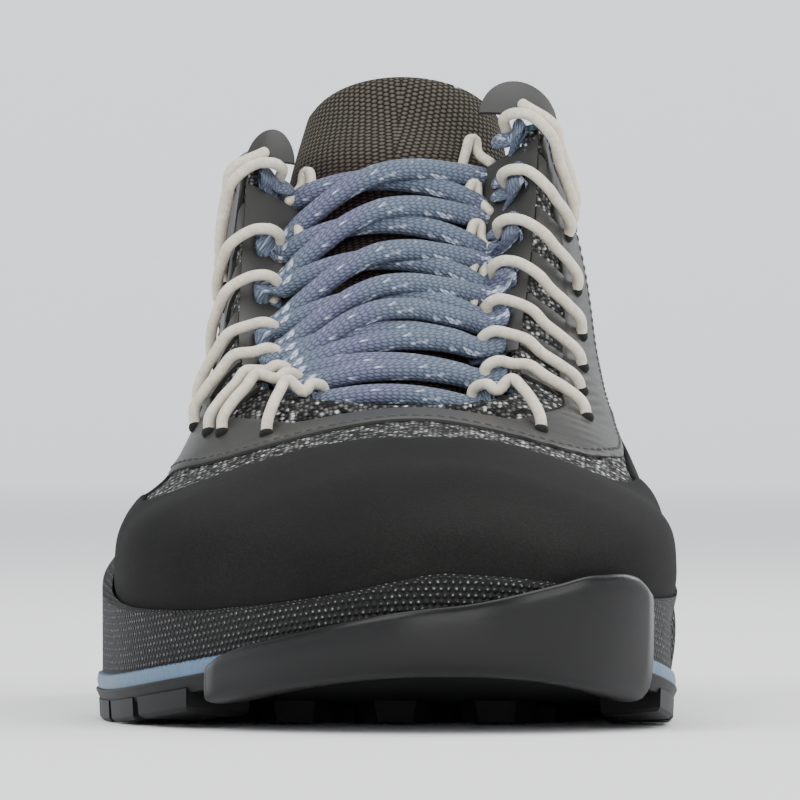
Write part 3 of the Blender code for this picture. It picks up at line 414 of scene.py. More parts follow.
def upper_point(turn, height, offset=0.0):
    """Point of the upper's outer face, moved out by an offset.

    turn runs round the shoe: 0 at the heel, 1 at the toe on the lateral side, and
    1 to 2 back to the heel on the medial side. height is a share of the wall.
    """
    turn, height = np.broadcast_arrays(np.asarray(turn, float), np.asarray(height, float))
    if np.any(offset):
        step = 1e-3
        du = upper_point(turn + step, height) - upper_point(turn - step, height)
        dv = upper_point(turn, height + step) - upper_point(turn, height - step)
        normal = np.cross(du, dv)
        normal /= np.linalg.norm(normal, axis=-1, keepdims=True) + 1e-12
        return upper_point(turn, height) + normal * np.asarray(offset)[..., None]
    wrapped = np.mod(turn, 2.0)
    lateral = wrapped <= 1.0
    along = (1 - np.cos(np.pi * wrapped)) / 2
    height = np.where(height < 0, 0, height)
    xl, zl = upper_section(along, -1, height)
    xm, zm = upper_section(along, 1, height)
    x, z = np.where(lateral, xl, xm), np.where(lateral, zl, zm)
    y = LENGTH / 2 - UPPER_HEEL_INSET - along * (LENGTH - UPPER_HEEL_INSET - UPPER_TOE_INSET)
    share = z / (COLLAR_HEIGHT - HEEL_STACK)
    y = y - smooth(HEEL_CURVE, share) * np.clip(1 - along / HEEL_CURVE_END, 0, 1) ** 2
    return np.stack([x, y, z + board(along)], axis=-1)


def turn_at(along, side):
    """Turn of a section on one side of the shoe."""
    turn = math.acos(1 - 2 * along) / math.pi
    return turn if side < 0 else 2 - turn


def along_at(turn):
    """Share of the length at a turn."""
    return (1 - np.cos(np.pi * np.asarray(turn, float))) / 2


def by_turn(rows, turn):
    """Value of a line round the shoe, with a lateral and a medial column."""
    turn = np.mod(np.asarray(turn, float), 2.0)
    lateral = smooth(rows, turn, 1)
    medial = smooth(rows, 2 - turn, len(rows[0]) - 1)
    return np.where(turn <= 1.0, lateral, medial)


def height_at(turn, z, offset=0.0):
    """Share of the wall's height at which the upper's face reaches a world height."""
    shares = np.linspace(0, 1, 81)
    values = [upper_point(turn, share, offset)[..., 2] for share in shares]
    stack = np.stack(values, axis=-1)
    turn, z = np.broadcast_arrays(np.asarray(turn, float), np.asarray(z, float))
    flat = [np.interp(b, np.maximum.accumulate(a), shares) for a, b in zip(stack.reshape(-1, 81), z.ravel())]
    return np.array(flat).reshape(turn.shape)


def past_edge(turn, distance):
    """Share of the wall's height that lies a distance beyond its upper edge."""
    step = 1e-3
    length = np.linalg.norm(upper_point(turn, 1.0 + step) - upper_point(turn, 1.0), axis=-1)
    return 1.0 + distance * step / length


def meet_at_ridge(columns, levels, shut, shift):
    """Brings both halves together along the ridge: column i and its mirror image."""
    count = len(columns)
    for i in range(count):
        opposite = (shift - i) % count
        if shut[i]:
            for level in levels:
                middle = (columns[i, level] + columns[opposite, level]) / 2
                columns[i, level] = middle
                columns[opposite, level] = middle


def turns_round(steps):
    """Turns round the whole shoe, the same on both sides."""
    half = np.array(steps)
    return np.concatenate([half, 2 - half[-2:0:-1]])


def tongue_frame(at):
    """Centre, outward direction, half width and drop of the tongue's section, 0 front to 1 top."""
    places = np.linspace(0, 1, len(TONGUE_ROWS))
    rows = [(place, *row) for place, row in zip(places, TONGUE_ROWS)]
    half = BALL_WIDTH / 2

    def centre(value):
        return np.array([
            smooth(rows, value, 3) * half,
            LENGTH / 2 - smooth(rows, value, 1) * LENGTH,
            smooth(rows, value, 2) * TONGUE_HEIGHT / TONGUE_DRAWN,
        ])

    step = 1e-3
    tangent = centre(min(at + step, 1)) - centre(max(at - step, 0))
    tangent /= np.linalg.norm(tangent)
    outward = np.cross((1.0, 0.0, 0.0), tangent)
    if outward[2] < 0:
        outward = -outward
    return centre(at), outward, float(smooth(rows, at, 4)) * half, float(smooth(rows, at, 5)) * half


def tongue_point(at, across, out=0.0):
    """Point of the tongue's outer face, across from -1 lateral to 1 medial."""
    centre, outward, half_width, drop = tongue_frame(at)
    angle = across * TONGUE_SWEEP
    reach = np.sin(angle) / math.sin(TONGUE_SWEEP) * half_width
    fall = (1 - np.cos(angle)) / (1 - math.cos(TONGUE_SWEEP)) * drop
    flat = np.array((1.0, 0.0, 0.0))
    slope = np.array((half_width / math.sin(TONGUE_SWEEP) * np.cos(angle),
                      drop / (1 - math.cos(TONGUE_SWEEP)) * np.sin(angle)))
    slope /= np.linalg.norm(slope)
    normal = flat * slope[1] + outward * slope[0]
    return centre + flat * reach - outward * fall + normal * out


# Film round the throat, from its top to its front: where it begins and ends outside the edge
# Columns: share of the way, inner, outer
FILM = (
    (0.00, 0.0010, 0.0130),
    (0.10, 0.0040, 0.0200),
    (0.25, 0.0085, 0.0225),
    (0.60, 0.0090, 0.0225),
    (0.80, 0.0080, 0.0210),
    (0.93, 0.0058, 0.0180),
    (1.00, 0.0050, 0.0165),
)
# Vents of the heel wrap on each side. Columns: turn, height, length
VENTS = (
    (0.190, 0.0560, 0.0085),
    (0.212, 0.0525, 0.0075),
    (0.225, 0.0575, 0.0085),
    (0.250, 0.0510, 0.0085),
    (0.262, 0.0550, 0.0080),
)
# Profile of a pull loop's bead. Columns: radius, height
BEAD = (
    (0.0024, -0.0004),
    (0.0029, 0.0),
    (0.0031, 0.0006),
    (0.0029, 0.0012),
    (0.0022, 0.0017),
    (0.0012, 0.0018),
    (0.0004, 0.0018),
)

# Density of the finished meshes: steps round the shoe, levels up its wall, sides of a cord
FINE = 0.0021
RIDGE_LEVELS = 34
ROUND = 16


def linear(*colour):
    """Screen colour, 0 to 255, as the shader's linear values."""
    shares = [value / 255 for value in colour]
    return tuple(v / 12.92 if v <= 0.04045 else ((v + 0.055) / 1.055) ** 2.4 for v in shares) + (1.0,)


class ShoeSizes(bpy.types.PropertyGroup):
    """Sizes of the finer work"""

    film: bpy.props.FloatProperty(
        name="Film", description="Thickness of the throat's film", default=0.0008, subtype="DISTANCE", unit="LENGTH"
    )
    lace: bpy.props.FloatProperty(
        name="Lace", description="Width of the round lace", default=0.0042, subtype="DISTANCE", unit="LENGTH"
    )
    cord: bpy.props.FloatProperty(
        name="Eyelet cord",
        description="Diameter of the eyelet cords",
        default=0.0020,
        subtype="DISTANCE",
        unit="LENGTH",
    )
    stitch: bpy.props.FloatProperty(
        name="Stitch", description="Length from stitch to stitch", default=0.0026, subtype="DISTANCE", unit="LENGTH"
    )
    thread: bpy.props.FloatProperty(
        name="Thread", description="Diameter of the sewing thread", default=0.0007, subtype="DISTANCE", unit="LENGTH"
    )


class ShoeColours(bpy.types.PropertyGroup):
    """Colours of the shoe"""

    knit: bpy.props.FloatVectorProperty(
        name="Knit",
        description="Middle grey of the upper's knit",
        size=4,
        subtype="COLOR",
        default=linear(98, 98, 96),
    )
    film: bpy.props.FloatVectorProperty(
        name="Film", description="Grey of the throat's film", size=4, subtype="COLOR", default=linear(51, 51, 49)
    )
    rand: bpy.props.FloatVectorProperty(
        name="Rand",
        description="Black of the toe rand",
        size=4,
        subtype="COLOR",
        default=linear(26, 26, 25),
    )
    lace: bpy.props.FloatVectorProperty(
        name="Lace", description="Blue of the lace", size=4, subtype="COLOR", default=linear(104, 115, 132)
    )
    lining: bpy.props.FloatVectorProperty(
        name="Lining", description="Blue of the lining", size=4, subtype="COLOR", default=linear(100, 128, 145)
    )
    stripe: bpy.props.FloatVectorProperty(
        name="Stripe", description="Blue of the sole's stripe", size=4, subtype="COLOR", default=linear(82, 108, 132)
    )
    cord: bpy.props.FloatVectorProperty(
        name="Cord", description="Cream of the cords", size=4, subtype="COLOR", default=linear(214, 206, 188)
    )


# Finishes

def add_node(tree, kind, inputs=None, **settings):
    """One node, its inputs set to numbers or joined to other nodes' outputs."""
    node = tree.nodes.new(kind)
    for key, value in settings.items():
        setattr(node, key, value)
    for key, value in (inputs or {}).items():
        if isinstance(value, bpy.types.NodeSocket):
            tree.links.new(value, node.inputs[key])
        else:
            node.inputs[key].default_value = value
    return node


def calculate(tree, operation, *values):
    """One step of arithmetic."""
    return add_node(tree, "ShaderNodeMath", dict(enumerate(values)), operation=operation).outputs[0]


def vector(tree, operation, *values):
    """One step of vector arithmetic."""
    node = add_node(tree, "ShaderNodeVectorMath", dict(enumerate(values)), operation=operation)
    return node.outputs["Value" if operation in ("LENGTH", "DOT_PRODUCT") else "Vector"]


def coordinates(tree, source="UV", scale=(1, 1, 1), turn=0.0):
    """Pattern coordinates in metres times a scale, turned in their plane."""
    texture = add_node(tree, "ShaderNodeTexCoord")
    return add_node(
        tree,
        "ShaderNodeMapping",
        {"Vector": texture.outputs[source], "Scale": scale, "Rotation": (0, 0, turn)},
    ).outputs[0]


def ramp(tree, factor, stops, interpolation="LINEAR"):
    """Colour ramp from a list of places and colours, or plain shares of white."""
    node = add_node(tree, "ShaderNodeValToRGB", {0: factor})
    node.color_ramp.interpolation = interpolation
    elements = node.color_ramp.elements
    while len(elements) < len(stops):
        elements.new(0.5)
    for element, (place, colour) in zip(elements, stops):
        element.position = place
        element.color = colour if isinstance(colour, tuple) else (colour, colour, colour, 1.0)
    return node.outputs[0]


def mix(tree, factor, first, second, blend="MIX"):
    inputs = {0: factor, 6: first, 7: second}
    return add_node(tree, "ShaderNodeMix", inputs, data_type="RGBA", blend_type=blend).outputs[2]


def noise(tree, place, scale, detail=2.0, roughness=0.5):
    inputs = {"Vector": place, "Scale": scale, "Detail": detail, "Roughness": roughness}
    return add_node(tree, "ShaderNodeTexNoise", inputs).outputs[0]


def bump(tree, height, strength, distance, normal=None):
    inputs = {"Height": height, "Strength": strength, "Distance": distance}
    if normal is not None:
        inputs["Normal"] = normal
    return add_node(tree, "ShaderNodeBump", inputs).outputs[0]


def cells(tree, place):
    """Distance from the nearest centre of a honeycomb: 0 in a cell's middle, 0.58 at its corners."""
    size = (1.0, math.sqrt(3), 1.0)
    half = (0.5, math.sqrt(3) / 2, 0.5)
    first = vector(tree, "SUBTRACT", vector(tree, "WRAP", place, size, (0, 0, 0)), half)
    moved = vector(tree, "ADD", place, half)
    second = vector(tree, "SUBTRACT", vector(tree, "WRAP", moved, size, (0, 0, 0)), half)
    flat = (1, 1, 0)
    ways = [vector(tree, "LENGTH", vector(tree, "MULTIPLY", way, flat)) for way in (first, second)]
    return calculate(tree, "MINIMUM", *ways)


def finish(name, colour, roughness, **sockets):
    """A new material with its shader's own sockets set, and the node tree to draw in."""
    made = bpy.data.materials.new(name)
    made.use_nodes = True
    tree = made.node_tree
    shader = tree.nodes["Principled BSDF"]
    shader.inputs["Base Color"].default_value = colour
    shader.inputs["Roughness"].default_value = roughness
    for key, value in sockets.items():
        shader.inputs[key.replace("_", " ").title().replace("Ior", "IOR")].default_value = value
    return made, tree, shader


def drawn(tree, shader, colour, normal):
    """Joins the drawn colour and relief to the shader."""
    tree.links.new(colour, shader.inputs["Base Color"])
    tree.links.new(normal, shader.inputs["Normal"])


def grey(level):
    return linear(level, level, level)


def toned(colour, share):
    """A colour made darker or lighter by a share."""
    return tuple(min(value * share, 1.0) for value in colour[:3]) + (1.0,)


def own_place(tree, axis):
    """A point's own coordinate, in metres."""
    return add_node(tree, "ShaderNodeSeparateXYZ", {0: coordinates(tree, "Object")}).outputs[axis]


def rising(tree, value, low, high, top=1.0):
    """0 below a value, and a top value above another."""
    inputs = {"Value": value, "From Min": low, "From Max": high, "To Max": top}
    return add_node(tree, "ShaderNodeMapRange", inputs).outputs[0]


def knit_finish(name, middle, cell, light_from=0.80):
    """Knit of dark and pale yarn: small uneven stitches with painted shade between them, paler towards the medial
    side.
    """
    made, tree, shader = finish(name, middle, 0.85, specular_ior_level=0.2)
    place = coordinates(tree, "Object", (1 / cell, 0.8 / cell, 1.25 / cell))
    stitch = add_node(tree, "ShaderNodeTexVoronoi", {"Vector": place, "Scale": 1.0, "Randomness": 0.72})
    yarn = add_node(tree, "ShaderNodeSeparateColor", {0: stitch.outputs["Color"]}).outputs[0]
    pick = calculate(tree, "ADD", yarn, rising(tree, own_place(tree, 0), 0.006, 0.040, 0.14))
    pale = linear(205, 206, 204)
    colour = ramp(
        tree, pick, [(0.0, grey(16)), (0.30, grey(44)), (0.62, middle), (light_from, grey(112)), (1.0, pale)]
    )
    # Each stitch's height: it is the bump, and it is multiplied into the colour as painted shade between the
    # stitches.
    depth = ramp(tree, stitch.outputs["Distance"], [(0.30, 1), (0.62, 0.12)])
    drawn(tree, shader, mix(tree, 1.0, colour, depth, "MULTIPLY"), bump(tree, depth, 0.85, cell * 0.45))
    return made


def nubuck_finish(name, colour, cell=0.0004):
    """Nubuck: a fine speckled nap with soft clouds."""
    made, tree, shader = finish(name, colour, 0.85, specular_ior_level=0.12)
    place = coordinates(tree, "Object")
    fine = noise(tree, place, 1 / cell, 3.0, 0.7)
    cloud = noise(tree, place, 45.0, 2.0)
    speckled = ramp(tree, fine, [(0.30, toned(colour, 0.66)), (0.52, colour), (0.74, toned(colour, 1.5))])
    shade = ramp(tree, cloud, [(0.30, 0.82), (0.70, 1.12)])
    drawn(tree, shader, mix(tree, 1.0, speckled, shade, "MULTIPLY"), bump(tree, fine, 0.35, 0.0002))
    return made


def film_finish(name, colour, roughness=0.46, ribs=False):
    """Smooth film with a faint grain, ribbed across on its medial arm where asked."""
    made, tree, shader = finish(name, colour, roughness, specular_ior_level=0.3)
    place = coordinates(tree, "Object")
    grain = noise(tree, place, 1800.0, 3.0, 0.6)
    cloud = noise(tree, place, 60.0, 2.0)
    normal = bump(tree, grain, 0.18, 0.0001)
    if ribs:
        wave = add_node(
            tree,
            "ShaderNodeTexWave",
            {"Vector": coordinates(tree, "UV", (1, 1, 1), 0.9), "Scale": 120.0},
            wave_type="BANDS",
            bands_direction="X",
        ).outputs[1]
        where = rising(tree, own_place(tree, 0), 0.018, 0.024)
        normal = bump(tree, calculate(tree, "MULTIPLY", wave, where), 0.5, 0.0003, normal)
    drawn(tree, shader, ramp(tree, cloud, [(0.3, toned(colour, 0.86)), (0.7, toned(colour, 1.14))]), normal)
    return made


def honeycomb_finish(name, colour, cell, gap, dark):
    """Spacer mesh: raised cells of pale yarn, painted lighter towards their middles, with painted shade in the gaps
    between them.
    """
    made, tree, shader = finish(name, colour, 0.88, specular_ior_level=0.15)
    place = coordinates(tree, "UV", (1 / cell, 1 / cell, 1))
    wobble = noise(tree, place, 1.3, 1.0)
    reach = cells(tree, vector(tree, "ADD", place, add_node(tree, "ShaderNodeCombineXYZ", {0: wobble}).outputs[0]))
    fibre = noise(tree, coordinates(tree, "Object"), 3500.0, 3.0, 0.7)
    # Painted highlight towards each raised cell's middle and painted shade in the gaps, down to the share dark of the
    # colour.
    base = ramp(tree, reach, [(0.12, toned(colour, 1.35)), (gap, colour), (gap + 0.10, toned(colour, dark))])
    shade = ramp(tree, fibre, [(0.3, 0.72), (0.7, 1.15)])
    height = ramp(tree, reach, [(0.10, 1), (gap + 0.12, 0)])
    drawn(tree, shader, mix(tree, 1.0, base, shade, "MULTIPLY"), bump(tree, height, 0.9, cell * 0.30))
    return made


def herringbone_finish(name, colour, inner, cell=0.0012):
    """Tongue mesh: cells in rows that slant to both sides of the middle."""
    made, tree, shader = finish(name, colour, 0.9, specular_ior_level=0.12)
    parts = add_node(tree, "ShaderNodeSeparateXYZ", {0: coordinates(tree, "UV")})
    across = calculate(tree, "ABSOLUTE", parts.outputs[0])
    folded = add_node(tree, "ShaderNodeCombineXYZ", {0: across, 1: parts.outputs[1]}).outputs[0]
    turned = add_node(
        tree, "ShaderNodeMapping", {"Vector": folded, "Scale": (0.8 / cell, 1.25 / cell, 1), "Rotation": (0, 0, 0.62)}
    ).outputs[0]
    reach = cells(tree, turned)
    tone = mix(tree, rising(tree, own_place(tree, 2), 0.094, 0.099), inner, colour)
    shade = ramp(tree, reach, [(0.18, 1.25), (0.36, 0.75), (0.50, 0.10)])
    fibre = noise(tree, coordinates(tree, "Object"), 4000.0, 2.0)
    soft = ramp(tree, fibre, [(0.3, 0.7), (0.7, 1.2)])
    painted = mix(tree, 1.0, mix(tree, 1.0, tone, shade, "MULTIPLY"), soft, "MULTIPLY")
    drawn(tree, shader, painted, bump(tree, shade, 0.8, cell * 0.35))
    return made


def braid_finish(name, colour, grain=0.00078):
    """Braided lace: slanting grains round the cord, with groups of pale flecks."""
    made, tree, shader = finish(name, colour, 0.72, specular_ior_level=0.25)
    place = coordinates(tree, "UV", (0.62 / grain, 1 / grain, 1), 0.0)
    parts = add_node(tree, "ShaderNodeSeparateXYZ", {0: place})
    zigzag = calculate(tree, "PINGPONG", parts.outputs[1], 2.0)
    slant = calculate(tree, "ADD", parts.outputs[0], calculate(tree, "MULTIPLY", zigzag, 0.55))
    slanted = add_node(tree, "ShaderNodeCombineXYZ", {0: slant, 1: parts.outputs[1]}).outputs[0]
    reach = cells(tree, slanted)
    patch = noise(tree, coordinates(tree, "UV", (150, 420, 1)), 1.0, 1.0)
    tuft = noise(tree, slanted, 0.9, 0.0)
    both = calculate(tree, "ADD", patch, calculate(tree, "MULTIPLY", tuft, 0.35))
    fleck = ramp(tree, both, [(0.80, 0), (0.86, 1)])
    drift = noise(tree, coordinates(tree, "UV", (60, 60, 1)), 1.0, 0.0)
    violet = linear(108, 111, 136)
    base = mix(tree, ramp(tree, drift, [(0.42, 0), (0.62, 1)]), colour, violet)
    painted = mix(tree, fleck, base, linear(196, 204, 222))
    shade = ramp(tree, reach, [(0.10, 1.1), (0.38, 0.85), (0.56, (0.30, 0.32, 0.36, 1.0))])
    drawn(tree, shader, mix(tree, 1.0, painted, shade, "MULTIPLY"), bump(tree, shade, 0.7, grain * 0.4))
    return made


def rubber_finish(name, level, roughness, coat=0.0):
    """Rubber with a fine grain and slightly uneven grey."""
    sockets = {"specular_ior_level": 0.3, "coat_weight": coat, "coat_roughness": 0.2}
    made, tree, shader = finish(name, grey(level), roughness, **sockets)
    place = coordinates(tree, "Object")
    grain = noise(tree, place, 900.0, 3.0, 0.6)
    cloud = noise(tree, place, 40.0, 3.0)
    tone = ramp(tree, cloud, [(0.3, grey(level * 0.85)), (0.7, grey(level * 1.15))])
    drawn(tree, shader, tone, bump(tree, grain, 0.15, 0.00015))
    return made


def foam_finish(name, level, cell, depth, flecks=False, above=None):
    """Moulded foam with a small raised texture, above a height only where asked."""
    made, tree, shader = finish(name, grey(level), 0.62, specular_ior_level=0.25)
    place = coordinates(tree, "UV", (1 / cell, 1 / cell, 1), 0.5 if above else 0.0)
    reach = cells(tree, place)
    raised = ramp(tree, reach, [(0.10, 1), (0.52, 0)])
    if above:
        raised = calculate(tree, "MULTIPLY", raised, rising(tree, own_place(tree, 2), above, above + 0.001))
    speckle = noise(tree, coordinates(tree, "Object"), 2200.0, 2.0)
    tone = ramp(tree, speckle, [(0.30, grey(level * 0.82)), (0.70, grey(level * 1.18))])
    if flecks:
        pale = ramp(tree, calculate(tree, "MULTIPLY", raised, speckle), [(0.42, 0), (0.60, 1)])
        shade = ramp(tree, reach, [(0.2, 1), (0.55, 0.25)])
        tone = mix(tree, pale, mix(tree, 1.0, tone, shade, "MULTIPLY"), grey(128))
    drawn(tree, shader, tone, bump(tree, raised, 0.9, depth))
    return made


def plain_finish(name, colour, roughness, coat=0.0, grain=1500.0, depth=0.15):
    made, tree, shader = finish(name, colour, roughness, coat_weight=coat, coat_roughness=0.1)
    fine = noise(tree, coordinates(tree, "Object"), grain, 3.0, 0.6)
    tone = ramp(tree, fine, [(0.3, toned(colour, 0.8)), (0.7, toned(colour, 1.1))])
    drawn(tree, shader, tone, bump(tree, fine, depth, 0.0002))
    return made


# Meshes

def build(name, shape, looks, angle=48):
    """One mesh object from points, faces and their pattern, merged where points meet, facing outwards."""
    points, faces, pattern = shape
    mesh = bpy.data.meshes.new(name)
    mesh.from_pydata(np.asarray(points, float).tolist(), [], faces)
    if pattern is not None:
        layer = mesh.uv_layers.new(name="Pattern")
        layer.uv.foreach_set("vector", np.asarray(pattern, np.float32).ravel())
    bm = bmesh.new()
    bm.from_mesh(mesh)
    bmesh.ops.remove_doubles(bm, verts=bm.verts, dist=MERGE)
    bmesh.ops.recalc_face_normals(bm, faces=bm.faces)
    bm.to_mesh(mesh)
    bm.free()
    mesh.shade_smooth()
    mesh.set_sharp_from_angle(angle=math.radians(angle))
    for look in looks if isinstance(looks, (list, tuple)) else (looks,):
        mesh.materials.append(look)
    made = bpy.data.objects.new(name, mesh)
    bpy.context.scene.collection.objects.link(made)
    return made


def weave(columns, round_shoe=False, closed=True, skip=None, caps=False):
    """Faces and pattern coordinates, in metres, over columns of points that stand side by side."""
    count, deep = columns.shape[:2]
    following = np.roll(columns, -1, axis=0)
    steps = np.linalg.norm(following - columns, axis=-1)[:, deep // 4]
    run = np.concatenate([[0], np.cumsum(steps)])
    rise = np.concatenate([columns, columns[:, :1]], 1)
    rise = np.cumsum(np.linalg.norm(np.diff(rise, axis=1), axis=-1), axis=1)
    rise = np.concatenate([np.zeros((count, 1)), rise], 1)
    faces, pattern = [], []
    for i in range(count if round_shoe else count - 1):
        k = (i + 1) % count
        for j in range(deep if closed else deep - 1):
            if skip is not None and skip(i, k, j):
                continue
            after = (j + 1) % deep
            faces.append((i * deep + j, k * deep + j, k * deep + after, i * deep + after))
            pattern += [(run[i], rise[i, j]), (run[i + 1], rise[k, j])]
            pattern += [(run[i + 1], rise[k, j + 1]), (run[i], rise[i, j + 1])]
    if caps:
        for i in (0, count - 1):
            faces.append(tuple(range(i * deep, (i + 1) * deep)))
            pattern += [(run[i], rise[i, j]) for j in range(deep)]
    return columns.reshape(-1, 3), faces, pattern


def cover_across(columns, level):
    """Strips that close a ring across the shoe, with their pattern coordinates."""
    count, deep = columns.shape[:2]
    faces, pattern = [], []
    for i in range(count // 2):
        face = [i, i + 1, count - i - 1, (count - i) % count]
        faces.append(tuple(k * deep + level for k in face))
        pattern += [tuple(columns[k, level, :2]) for k in face]
    return faces, pattern


def ring(columns):
    """Solid from open columns round the shoe, closed below and above across it."""
    points, faces, pattern = weave(columns, round_shoe=True, closed=False)
    for level in (0, columns.shape[1] - 1):
        more, extra = cover_across(columns, level)
        faces, pattern = faces + more, pattern + extra
    return points, faces, pattern


def settle(piece, slot, *nodes):
    """The piece rides on the shoe and stands for its CAD nodes, which it hides; the slot is not used."""
    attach(piece, "root")
    if nodes:
        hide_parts(*nodes)
    return piece


def plain_mesh(made):
    """Turns an object's modifiers into its mesh, and takes them away."""
    bpy.context.view_layer.update()
    graph = bpy.context.evaluated_depsgraph_get()
    mesh = bpy.data.meshes.new_from_object(made.evaluated_get(graph), preserve_all_data_layers=True, depsgraph=graph)
    made.modifiers.clear()
    old = made.data
    made.data = mesh
    bpy.data.meshes.remove(old)
    return made


def distances(points):
    """Distance along a line at each of its points."""
    return np.concatenate([[0], np.cumsum(np.linalg.norm(np.diff(points, axis=0), axis=1))])


def places_at(at, run, points):
    """Points of a line at some of the distances along it."""
    return np.column_stack([np.interp(at, run, points[:, k]) for k in range(3)])


def even_path(points, count):
    """Smooth curve through points, at even steps."""
    points = np.asarray(points, float)
    lengths = distances(points)
    rows = np.column_stack([lengths, points])
    fine = np.linspace(0, lengths[-1], count * 4)
    curve = np.column_stack([smooth(rows, fine, column) for column in (1, 2, 3)])
    run = distances(curve)
    return places_at(np.linspace(0, run[-1], count), run, curve)


def frames(path):
    """Two directions across a path at each point, without a twist."""
    tangents = np.gradient(path, axis=0)
    tangents /= np.linalg.norm(tangents, axis=1, keepdims=True) + 1e-12
    first = np.cross(tangents[0], (0.0, 0.0, 1.0))
    if np.linalg.norm(first) < 0.1:
        first = np.cross(tangents[0], (1.0, 0.0, 0.0))
    sides = [first / np.linalg.norm(first)]
    for tangent in tangents[1:]:
        side = sides[-1] - tangent * np.dot(sides[-1], tangent)
        sides.append(side / np.linalg.norm(side))
    sides = np.array(sides)
    return sides, np.cross(tangents, sides)


def cord_columns(path, radius, sides=ROUND, flat=None, squeeze=1.0):
    """Rings round a path with rounded ends, flattened along a direction where asked."""
    path = np.asarray(path, float)
    across, up = frames(path)
    if flat is not None:
        up = flat / np.linalg.norm(flat, axis=1, keepdims=True)
        tangents = np.gradient(path, axis=0)
        across = np.cross(up, tangents)
        across /= np.linalg.norm(across, axis=1, keepdims=True)
    angles = np.arange(sides) * 2 * math.pi / sides
    sideways, upwards = np.cos(angles)[None, :, None], squeeze * np.sin(angles)[None, :, None]
    ring_shape = sideways * across[:, None] + upwards * up[:, None]
    tangent = np.gradient(path, axis=0)
    tangent /= np.linalg.norm(tangent, axis=1, keepdims=True)
    shape = []
    for index, way in ((0, -1), (-1, 1)):
        ends = []
        for lift in (1.0, 0.92, 0.70, 0.38):
            grow = math.sqrt(max(1 - lift * lift, 1e-4))
            centre = path[index] + tangent[index] * way * lift * radius * 0.8
            ends.append(centre + ring_shape[index] * radius * grow)
        shape.append(np.array(ends))
    body = path[:, None] + ring_shape * radius
    return np.concatenate([shape[0], body, shape[1][::-1]])


def joined(parts):
    """Points, faces and pattern of several shapes as one."""
    points, faces, pattern, start = [], [], [], 0
    for more, shape, spots in parts:
        points.append(more)
        faces += [tuple(index + start for index in face) for face in shape]
        pattern += spots
        start += len(more)
    return np.concatenate(points), faces, pattern


def several_cords(name, groups, look):
    """One object from several cords' columns."""
    return build(name, joined([weave(columns, caps=True) for columns in groups]), look, 60)


def rounded(made):
    """Rounds off a piece's facets."""
    smoother = made.modifiers.new("soft", "SUBSURF")
    smoother.levels = smoother.render_levels = 1
    return plain_mesh(made)


def soften(values, rounds):
    """Evens rows out in place, with the first and last kept."""
    for _ in range(rounds):
        values[1:-1] = (values[:-2] + values[2:] + 2 * values[1:-1]) / 4


# The upper's face, to lay other pieces on

class Skin:
    """The outer face of a piece, on which points are seated and routes are walked."""

    def __init__(self, grid):
        count, deep = grid.shape[:2]
        faces = [
            (i * deep + j, (i + 1) * deep + j, (i + 1) * deep + j + 1, i * deep + j + 1)
            for i in range(count - 1)
            for j in range(deep - 1)
        ]
        self.tree = BVHTree.FromPolygons([Vector(point) for point in grid.reshape(-1, 3)], faces)

    def nearest(self, point):
        place, normal, _, _ = self.tree.find_nearest(Vector(point))
        return np.array(place), np.array(normal)

    def seat(self, point, offset=0.0):
        place, normal = self.nearest(point)
        return place + normal * offset

    def walk(self, start, direction, length, steps):
        """Points and normals along a straight walk over the face."""
        place, normal = self.nearest(start)
        way = direction - normal * np.dot(direction, normal)
        way /= np.linalg.norm(way)
        places, normals = [place], [normal]
        for _ in range(steps):
            place, normal = self.nearest(places[-1] + way * length / steps)
            way = way - normal * np.dot(way, normal)
            way /= np.linalg.norm(way)
            places.append(place)
            normals.append(normal)
        return np.array(places), np.array(normals)


def upper_skin():
    """The upper's outer face."""
    turns = np.linspace(0, 2, 601)
    shares = np.concatenate([np.linspace(0, 0.5, 25), np.linspace(0.5, 1.0, 50)[1:]])
    return Skin(upper_point(turns[:, None], shares[None, :]))


def tongue_skin():
    """The tongue's outer face."""
    grid = np.array([
        [tongue_point(at, across) for at in np.linspace(0, 1, 90)]
        for across in np.linspace(-1, 1, 60)
    ])
    return Skin(grid)


